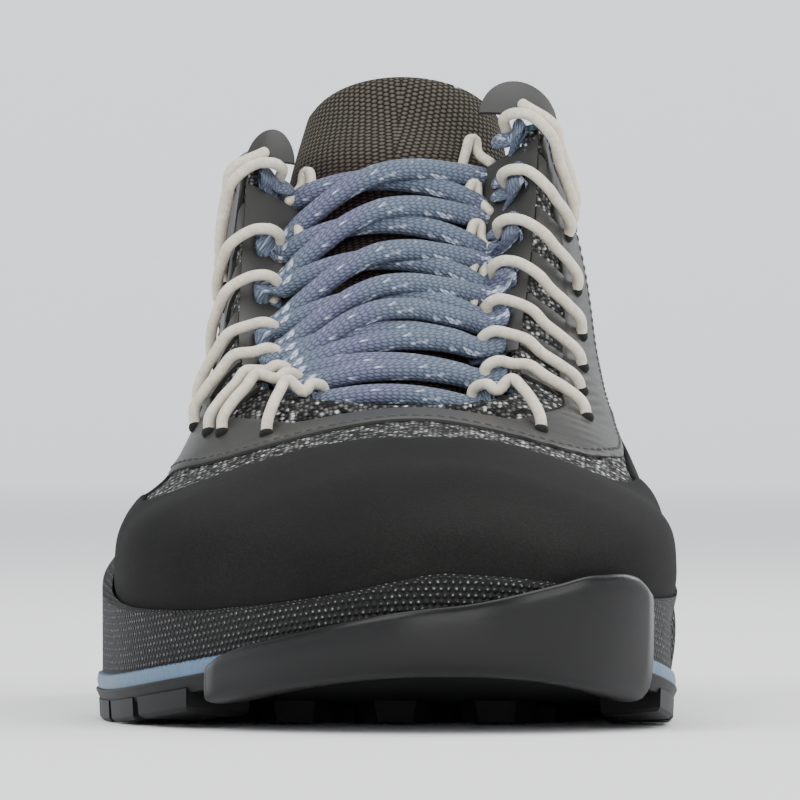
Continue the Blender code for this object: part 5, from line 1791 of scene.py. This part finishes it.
def ground(along):
    """Height of the tread's lowest points: flat, raised at the toe, heel and arch."""
    along = np.asarray(along, float)
    heel = HEEL_BEVEL * np.clip(1 - along / HEEL_BEVEL_END, 0, 1) ** 2
    arch = ARCH_LIFT * np.sin(np.pi * np.clip((along - ARCH[0]) / (ARCH[1] - ARCH[0]), 0, 1)) ** 2
    return heel + arch + TOE_SPRING * np.clip((along - SPRING_START) / (1 - SPRING_START), 0, 1) ** 2


def along_of(y):
    """Share of the length at a place."""
    return (LENGTH / 2 - y) / (LENGTH - WRAP_PROUD)


def sole_top(turn):
    """Height of the outsole's upper edge, which the layers above follow."""
    turn = np.mod(np.asarray(turn, float), 2.0)
    turn = np.where(turn > 1, 2 - turn, turn)
    return smooth(SOLE_TOP, turn) + rise_of_toe(along_at(turn))


def even_turns(step):
    """Turns round the sole at even steps along its outline, the same on both sides."""
    fine = np.linspace(0, 1, 3001)
    x, y = sole_edge(along_at(fine), -1)
    run = np.concatenate([[0], np.cumsum(np.hypot(np.diff(x), np.diff(y)))])
    return turns_round(np.interp(np.linspace(0, run[-1], int(run[-1] / step)), run, fine))


def run_along(points):
    """Distance along a closed line, at each point's far side."""
    return np.cumsum(np.linalg.norm(np.diff(points, axis=0, append=points[:1]), axis=1))


def outline(turns, inset, z):
    """Points on the sole's outline at each turn, set in, at a height."""
    lateral = turns <= 1.0
    along = along_at(turns)
    xl, yl = sole_edge(along, -1, inset)
    xm, ym = sole_edge(along, 1, inset)
    return np.stack([np.where(lateral, xl, xm), np.where(lateral, yl, ym), np.broadcast_to(z, turns.shape)], -1)


def make_plate(look):
    """Outsole's plate, with slots round the heel's edge."""
    turns = even_turns(0.0011)
    top = sole_top(turns)
    along = along_at(turns)
    low = np.minimum(ground(along) + TREAD, top - PLATE)
    run = run_along(outline(turns, 0, top))
    heel = along < 0.13
    notch = np.where(heel & (np.mod(run, 0.0068) < 0.0016), 0.0011, 0.0)
    rings = [outline(turns, EDGE + LAYER_LAP, low), outline(turns, EDGE, low)]
    for share in (0.25, 0.35, 0.75, 0.9):
        inset = EDGE * (1 - share) + np.where((share > 0.3) & (share < 0.8), notch, 0)
        rings.append(outline(turns, inset, low + (top - low) * share))
    rings.append(outline(turns, 0.0002, top))
    rings.append(outline(turns, 0.0025, top))
    settle(build("outsole_plate", ring(np.stack(rings, 1)), look, 35), "outsole_rubber", "outsole")


def make_edge_lugs(look):
    """Lugs along both edges, wavy on their inner side and bevelled at the ground."""
    length = (EDGE_LUG_SPAN[1] - EDGE_LUG_SPAN[0]) / EDGE_LUGS
    blocks = []
    for side in (-1, 1):
        for k in range(EDGE_LUGS):
            first = EDGE_LUG_SPAN[0] + (EDGE_LUG_SPAN[1] - EDGE_LUG_SPAN[0]) * k / EDGE_LUGS
            last = first + length - LUG_GAP / LENGTH
            outer = [sole_edge(place, side, 0.0006) for place in np.linspace(first, last, 4)]
            inner = [
                sole_edge(place, side, EDGE_LUG_DEPTH - 0.002 * (i % 2))
                for i, place in enumerate(np.linspace(last, first, 4))
            ]
            blocks.append([(float(x), float(y)) for x, y in outer + inner])
    points, faces = [], []
    for block in blocks:
        start, count = len(points), len(block)
        centre = np.mean(block, axis=0)
        for share, rise in ((0.86, 0.0), (0.97, 0.0006), (1.0, TREAD + LUG_SINK)):
            for x, y in block:
                px, py = centre + (np.array((x, y)) - centre) * share
                points.append((px, py, float(ground(along_of(py))) + rise))
        faces.append(tuple(range(start, start + count)))
        faces.append(tuple(range(start + 2 * count, start + 3 * count)))
        for level in (0, count):
            for k in range(count):
                m = (k + 1) % count
                low, high = start + level, start + level + count
                faces.append((low + k, low + m, high + m, high + k))
    settle(build("edge_lugs", (points, faces, None), look, 30), "outsole_rubber")


def make_bumper(look):
    """Smooth toe of the outsole, which wraps up over the midsole, higher on the medial side."""
    turns = np.linspace(*BUMPER_SPAN, 200)
    rise = smooth(BUMPER_RISE, turns)
    base = ground(along_at(turns))
    ends = np.minimum(turns - turns[0], turns[-1] - turns)
    proud = WRAP_PROUD * np.clip(ends / 0.012, 0.25, 1) ** 0.5
    profile = [
        (EDGE - GAP, base + 0.003),
        (EDGE - GAP, rise - 0.0006),
        (-proud * 0.15, rise + 0.0002),
        (-proud * 0.75, rise - 0.0004),
        (-proud, rise - 0.0016),
        (-proud, rise - 0.0040),
    ]
    for share, inset in ((0.55, -0.85), (0.30, -0.3), (0.12, 0.9), (0.03, 2.6)):
        reach = proud if inset < 0 else WRAP_PROUD
        profile.append((reach * inset, base + (rise - 0.004 - base) * share))
    under = ((0.0058, 0.0002), (0.0100, 0.0008), (0.0150, 0.0020), (0.0150, 0.0035))
    profile += [(inset, base + above) for inset, above in under]
    columns = np.stack([outline(turns, inset, z) for inset, z in profile], 1)
    settle(rounded(build("toe_bumper", weave(columns, caps=True), look, 50)), "outsole_rubber")


def make_field_lugs(look):
    """Six-sided lugs under the shoe: a node tree sets one bevelled lug at each place."""
    places = []
    for row in range(int((LUG_FIELD[1] - LUG_FIELD[0]) * LENGTH / LUG_PITCH) + 1):
        y = LENGTH / 2 - LUG_FIELD[0] * LENGTH - row * LUG_PITCH
        left, _ = sole_edge(along_of(y), -1, EDGE_LUG_DEPTH + LUG_GAP)
        right, _ = sole_edge(along_of(y), 1, EDGE_LUG_DEPTH + LUG_GAP)
        count = int(float(right - left) / LUG_PITCH)
        for k in range(count):
            x = float(left + right) / 2 + (k - (count - 1) / 2) * LUG_PITCH * 1.02
            places.append((x, y, float(ground(along_of(y))) + TREAD + LUG_SINK))

    def draw(tree, given):
        top = calculate(tree, "MULTIPLY", given["Radius"], given["Taper"])
        inputs = {"Vertices": 6, "Side Segments": 2, "Fill Segments": 1}
        inputs |= {"Radius Bottom": given["Radius"], "Radius Top": top, "Depth": given["Depth"]}
        lug = add_node(tree, "GeometryNodeMeshCone", inputs)
        upside_down = {"Geometry": lug.outputs[0], "Rotation": (math.pi, 0, 0)}
        return {"Points": given[0], "Instance": add_node(tree, "GeometryNodeTransform", upside_down).outputs[0]}

    sizes = {"Radius": LUG_SIZE / 2, "Depth": TREAD + LUG_SINK, "Taper": 0.82}
    settle(from_nodes("field_lugs", places, [], sizes, look, draw), "outsole_rubber")


def make_outsole(context):
    """Outsole: plate, edge lugs, six-sided lugs and the smooth toe."""
    matte = rubber_finish("outsole_rubber_matte", 20, 0.6)
    satin = rubber_finish("outsole_rubber_satin", 14, 0.25)
    make_plate(matte)
    make_edge_lugs(matte)
    make_field_lugs(matte)
    make_bumper(satin)


def make_stripe(context):
    """Foam stripe between outsole and midsole, toothed along the forefoot's outer side."""
    look = plain_finish("stripe_blue", tuple(context.scene.shoe_colours.stripe), 0.5, 0.0, 900.0, 0.1)
    turns = even_turns(0.00045)
    base = sole_top(turns) + GAP * 0.3
    along = along_at(turns)
    run = run_along(outline(turns, 0, base))
    where = (turns < 1) & (along > 0.50)
    teeth = np.where(where, 0.0004 * (2 * np.abs(np.mod(run / 0.0015, 1.0) - 0.5)), 0.0)
    height = STRIPE + GAP * 1.2
    rings = [
        outline(turns, LAYER_LAP, base),
        outline(turns, EDGE * 0.45, base),
        outline(turns, EDGE * 0.25, base + height * 0.5),
        outline(turns, EDGE * 0.45, base + height * 0.86 + teeth),
        outline(turns, EDGE, base + height * 0.9 + teeth),
        outline(turns, LAYER_LAP, base + height * 0.8),
    ]
    return settle(build("stripe_layer", ring(np.stack(rings, 1)), look, 60), "stripe_foam", "sole_stripe")


def midsole_wall(turns, rows):
    """Outer wall of the midsole from its foot to its lip, as in the CAD, at even shares."""
    base = sole_top(turns) + GAP + STRIPE
    rim = by_turn(RIM, turns)
    outside = RAND_SEAT + RAND + GAP
    inner_rim = upper_point(turns, height_at(turns, rim), outside)
    lip = inner_rim.copy()
    edge = outline(turns, EDGE, rim)
    away = edge[:, :2] - inner_rim[:, :2]
    away /= np.linalg.norm(away, axis=1, keepdims=True) + 1e-9
    lip[:, :2] += away * RIM_LIP
    lip[:, 2] -= RIM_DROP
    low = outline(turns, EDGE, base)
    middle = low * 0.45 + edge * 0.55
    middle[:, :2] = low[:, :2] * 0.72 + lip[:, :2] * 0.28
    bulge = upper_point(turns, height_at(turns, middle[:, 2]), outside + RIM_LIP)
    wider = (np.abs(bulge[:, 0]) > np.abs(middle[:, 0])) & (along_at(turns) < SPRING_START)
    middle[wider, :2] = bulge[wider, :2]
    shares = np.linspace(0, 1, rows)[:, None, None]
    knot = 0.55
    control = (middle - low * (1 - knot) ** 2 - lip * knot**2) / (2 * knot * (1 - knot))
    wall = low * (1 - shares) ** 2 + control * 2 * shares * (1 - shares) + lip * shares**2
    return np.moveaxis(wall, 0, 1), inner_rim


def make_midsole(context):
    """Midsole: knit-textured forefoot, and a heel block with a ledge and slots."""
    front_look = foam_finish("midsole_front_texture", 26, 0.00125, 0.0005, True)
    heel_look = foam_finish("midsole_heel_texture", 64, 0.0013, 0.0003, False, 0.0305)
    turns = even_turns(0.0009)
    wall, inner_rim = midsole_wall(turns, 30)
    along = along_at(turns)
    centre = np.array((0.0, LENGTH / 2 - 0.06, 0.0))
    away = wall - centre
    away[..., 2] = 0
    away /= np.linalg.norm(away, axis=-1, keepdims=True) + 1e-9
    z = wall[..., 2]
    near = np.minimum(np.mod(turns, 2.0), 2 - np.mod(turns, 2.0))[:, None]
    heel = np.clip((MIDSOLE_JOINT - along) / 0.01, 0, 1)[:, None]
    ledge = smooth(((0.0, 0.0355), (0.08, 0.0345), (0.16, 0.0300), (0.26, 0.0255), (0.42, 0.0235)), near)
    band = 1 / (1 + np.exp((z - ledge) / 0.00035))
    relief = 0.0016 * band * heel - 0.0006 * heel
    run = run_along(wall[:, 0])
    run = run - run[0]
    total = run[-1]
    signed = np.where(run > total / 2, run - total, run)
    slot = np.exp(-(((np.mod(signed + 0.00265, 0.0053) - 0.00265) / 0.00055) ** 2))[:, None]
    slot_low, slot_high = ledge - 0.0122, ledge - 0.0050
    tall = 1 / (1 + np.exp(-(z - slot_low) / 0.0004)) / (1 + np.exp((z - slot_high) / 0.0004))
    relief = relief - 0.0014 * slot * tall * heel * np.clip((0.30 - along) / 0.05, 0, 1)[:, None]
    shelf = np.exp(-(((z - ledge - 0.0012) / 0.0007) ** 2)) * heel * 0.0005
    wall = wall + away * (relief - shelf)[..., None]
    outside = RAND_SEAT + RAND + GAP
    foot = upper_point(turns, 0.0, outside)
    foot[:, 2] = board(along) - GAP
    shares = height_at(turns, by_turn(RIM, turns))
    inner = [upper_point(turns, np.minimum(level, shares), outside) for level in (0.36, 0.24, 0.12)]
    under = outline(turns, LAYER_LAP, wall[:, 0, 2])
    columns = np.concatenate([under[:, None], wall, inner_rim[:, None], np.stack(inner, 1), foot[:, None]], 1)
    joint = LENGTH / 2 - MIDSOLE_JOINT * LENGTH
    shape = ring(columns)
    for name, look, slot_name, node, front in (
        ("midsole_heel_block", heel_look, "midsole_heel_foam", "midsole_heel", False),
        ("midsole_front_band", front_look, "midsole_front_foam", "midsole_front", True),
    ):
        made = build(name, shape, look, 60)
        bm = bmesh.new()
        bm.from_mesh(made.data)
        cut = bmesh.ops.bisect_plane(
            bm,
            geom=bm.verts[:] + bm.edges[:] + bm.faces[:],
            plane_co=(0, joint - GAP / 2 if front else joint + GAP / 2, 0),
            plane_no=(0, 1, 0),
            clear_outer=front,
            clear_inner=not front,
        )
        edges = [part for part in cut["geom_cut"] if isinstance(part, bmesh.types.BMEdge)]
        bmesh.ops.edgenet_fill(bm, edges=edges)
        bmesh.ops.recalc_face_normals(bm, faces=bm.faces)
        bm.to_mesh(made.data)
        bm.free()
        settle(made, slot_name, node)


# Stage

def make_stage(context):
    """Pale sweep that glows more strongly towards its far wall as painted light, soft lights and the camera at the
    photograph's angle.
    """
    pale, tree, shader = finish("pale_sweep_painted_glow", linear(240, 240, 241), 0.9)
    # Painted light: the sweep's own glow rises from nothing near the shoe to 0.55 at its far wall, to brighten the
    # backdrop.
    spot = vector(tree, "LENGTH", vector(tree, "MULTIPLY", coordinates(tree, "Object"), (1, 1, 0)))
    shader.inputs["Emission Color"].default_value = (0.93, 0.95, 0.98, 1.0)
    tree.links.new(rising(tree, spot, 1.5, 6.5, 0.55), shader.inputs["Emission Strength"])
    flat, bend = 5.4, 1.6
    route = [(0.02, 0.0), (0.5, 0.0), (2.0, 0.0), (flat, 0.0)]
    route += [
        (flat + bend * math.sin(t), bend - bend * math.cos(t)) for t in np.linspace(0, math.pi / 2, 20)[1:]
    ]
    route += [(flat + bend, 2.6)]
    around = np.linspace(0, 2 * math.pi, 65)[:-1]
    columns = np.array([[(r * math.cos(t), r * math.sin(t), z) for r, z in route] for t in around])
    points, faces, pattern = weave(columns, round_shoe=True, closed=False)
    faces.append(tuple(k * len(route) for k in range(len(around))))
    pattern += [(0.0, 0.0)] * len(around)
    build("studio_sweep", (points, faces, pattern), pale)
    lights = (
        ("key", (-1.3, -1.5, 1.9), 1.6, 30.0),
        ("fill", (1.5, -1.2, 1.1), 1.5, 20.0),
        ("top", (0.1, 0.3, 2.4), 2.2, 40.0),
        ("rim", (1.1, 0.9, 0.9), 0.7, 9.0),
        ("low", (0.0, -2.2, 0.35), 1.2, 9.0),
    )
    for name, place, size, power in lights:
        lamp = bpy.data.lights.new("shoe_" + name, "AREA")
        lamp.size = size
        lamp.energy = power
        made = bpy.data.objects.new("shoe_" + name, lamp)
        made.location = place
        aim = Vector((0.0, 0.0, 0.05)) - made.location
        made.rotation_euler = aim.to_track_quat("-Z", "Y").to_euler()
        context.scene.collection.objects.link(made)
    world = context.scene.world or bpy.data.worlds.new("studio")
    context.scene.world = world
    world.use_nodes = True
    background = world.node_tree.nodes["Background"]
    background.inputs[0].default_value = (0.92, 0.94, 0.97, 1.0)
    background.inputs[1].default_value = 0.75
    lens = bpy.data.cameras.new("photo_view")
    lens.lens = 452.0
    lens.sensor_width = 36.0
    lens.clip_start, lens.clip_end = 0.05, 20.0
    camera = bpy.data.objects.new("photo_view", lens)
    camera.location = (0.055, -1.764, 0.0525)
    aim = Vector((0.0008, 0.0, 0.0545)) - camera.location
    camera.rotation_euler = aim.to_track_quat("-Z", "Y").to_euler()
    context.scene.collection.objects.link(camera)
    context.scene.camera = camera


# Operators, panel and run

class SHOE_OT_outsole(bpy.types.Operator):
    """Lugs, slotted edge and the smooth toe"""

    bl_idname = "shoe.outsole"
    bl_label = "Outsole"
    bl_options = {"REGISTER", "UNDO"}

    def execute(self, context):
        make_outsole(context)
        return {"FINISHED"}


class SHOE_OT_stripe(bpy.types.Operator):
    """Foam stripe of the sole"""

    bl_idname = "shoe.stripe"
    bl_label = "Sole Stripe"
    bl_options = {"REGISTER", "UNDO"}

    def execute(self, context):
        make_stripe(context)
        return {"FINISHED"}


class SHOE_OT_midsole(bpy.types.Operator):
    """Textured forefoot and slotted heel block"""

    bl_idname = "shoe.midsole"
    bl_label = "Midsole"
    bl_options = {"REGISTER", "UNDO"}

    def execute(self, context):
        make_midsole(context)
        return {"FINISHED"}


class SHOE_OT_upper(bpy.types.Operator):
    """Knit wall of the upper"""

    bl_idname = "shoe.upper"
    bl_label = "Knit Upper"
    bl_options = {"REGISTER", "UNDO"}

    def execute(self, context):
        make_upper(context)
        return {"FINISHED"}


class SHOE_OT_rand(bpy.types.Operator):
    """Nubuck cap round the toe"""

    bl_idname = "shoe.rand"
    bl_label = "Toe Rand"
    bl_options = {"REGISTER", "UNDO"}

    def execute(self, context):
        make_rand(context)
        return {"FINISHED"}


class SHOE_OT_wrap(bpy.types.Operator):
    """Heel film with its vents"""

    bl_idname = "shoe.wrap"
    bl_label = "Heel Wrap"
    bl_options = {"REGISTER", "UNDO"}

    def execute(self, context):
        make_wrap(context)
        return {"FINISHED"}


class SHOE_OT_film(bpy.types.Operator):
    """Film horseshoe round the throat"""

    bl_idname = "shoe.film"
    bl_label = "Throat Film"
    bl_options = {"REGISTER", "UNDO"}

    def execute(self, context):
        make_film(context)
        return {"FINISHED"}


class SHOE_OT_flaps(bpy.types.Operator):
    """Flaps and tabs along the throat"""

    bl_idname = "shoe.flaps"
    bl_label = "Throat Flaps"
    bl_options = {"REGISTER", "UNDO"}

    def execute(self, context):
        make_flaps(context)
        return {"FINISHED"}


class SHOE_OT_collar_panel(bpy.types.Operator):
    """Smooth panel round the collar"""

    bl_idname = "shoe.collar_panel"
    bl_label = "Collar Panel"
    bl_options = {"REGISTER", "UNDO"}

    def execute(self, context):
        make_collar_panel(context)
        return {"FINISHED"}


class SHOE_OT_stitches(bpy.types.Operator):
    """Rows of stitches"""

    bl_idname = "shoe.stitches"
    bl_label = "Stitches"
    bl_options = {"REGISTER", "UNDO"}

    def execute(self, context):
        make_stitches(context)
        return {"FINISHED"}


class SHOE_OT_lining(bpy.types.Operator):
    """Padded honeycomb lining"""

    bl_idname = "shoe.lining"
    bl_label = "Collar Lining"
    bl_options = {"REGISTER", "UNDO"}

    def execute(self, context):
        make_lining(context)
        return {"FINISHED"}


class SHOE_OT_tongue(bpy.types.Operator):
    """Padded tongue and its rim"""

    bl_idname = "shoe.tongue"
    bl_label = "Tongue"
    bl_options = {"REGISTER", "UNDO"}

    def execute(self, context):
        make_tongue(context)
        return {"FINISHED"}


class SHOE_OT_insole(bpy.types.Operator):
    """Bed inside the shoe"""

    bl_idname = "shoe.insole"
    bl_label = "Insole"
    bl_options = {"REGISTER", "UNDO"}

    def execute(self, context):
        make_insole(context)
        return {"FINISHED"}


class SHOE_OT_laces(bpy.types.Operator):
    """Braided lace strands"""

    bl_idname = "shoe.laces"
    bl_label = "Laces"
    bl_options = {"REGISTER", "UNDO"}

    def execute(self, context):
        make_laces(context)
        return {"FINISHED"}


class SHOE_OT_eye_cords(bpy.types.Operator):
    """Cream cords and their holes"""

    bl_idname = "shoe.eye_cords"
    bl_label = "Eyelet Cords"
    bl_options = {"REGISTER", "UNDO"}

    def execute(self, context):
        make_eye_cords(context)
        return {"FINISHED"}


class SHOE_OT_pull_loop(bpy.types.Operator):
    """Loop, beads and sleeve at the heel"""

    bl_idname = "shoe.pull_loop"
    bl_label = "Pull Loop"
    bl_options = {"REGISTER", "UNDO"}

    def execute(self, context):
        make_pull_loop(context)
        return {"FINISHED"}


class SHOE_OT_stage(bpy.types.Operator):
    """Sweep, lights and camera"""

    bl_idname = "shoe.stage"
    bl_label = "Stage"
    bl_options = {"REGISTER", "UNDO"}

    def execute(self, context):
        make_stage(context)
        return {"FINISHED"}


STEPS = (
    SHOE_OT_outsole,
    SHOE_OT_stripe,
    SHOE_OT_midsole,
    SHOE_OT_upper,
    SHOE_OT_rand,
    SHOE_OT_wrap,
    SHOE_OT_film,
    SHOE_OT_flaps,
    SHOE_OT_collar_panel,
    SHOE_OT_stitches,
    SHOE_OT_lining,
    SHOE_OT_tongue,
    SHOE_OT_insole,
    SHOE_OT_laces,
    SHOE_OT_eye_cords,
    SHOE_OT_pull_loop,
    SHOE_OT_stage,
)


class SHOE_PT_panel(bpy.types.Panel):
    """Sizes, colours and steps of the shoe"""

    bl_idname = "SHOE_PT_panel"
    bl_label = "Approach Shoe"
    bl_space_type = "VIEW_3D"
    bl_region_type = "UI"
    bl_category = "Shoe"

    def draw(self, context):
        layout = self.layout
        for group in (context.scene.shoe_sizes, context.scene.shoe_colours):
            box = layout.box()
            for name in group.__annotations__:
                box.prop(group, name)
        for step in STEPS:
            layout.operator(step.bl_idname)


CLASSES = (ShoeSizes, ShoeColours, *STEPS, SHOE_PT_panel)


def register():
    for kind in CLASSES:
        bpy.utils.register_class(kind)
    bpy.types.Scene.shoe_sizes = bpy.props.PointerProperty(type=ShoeSizes)
    bpy.types.Scene.shoe_colours = bpy.props.PointerProperty(type=ShoeColours)


def unregister():
    del bpy.types.Scene.shoe_colours
    del bpy.types.Scene.shoe_sizes
    for kind in reversed(CLASSES):
        bpy.utils.unregister_class(kind)


def main():
    """Makes every piece and the stage."""
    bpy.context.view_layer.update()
    register()
    for step in STEPS:
        group, name = step.bl_idname.split(".")
        getattr(getattr(bpy.ops, group), name)()


if __name__ == "__main__":
    main()
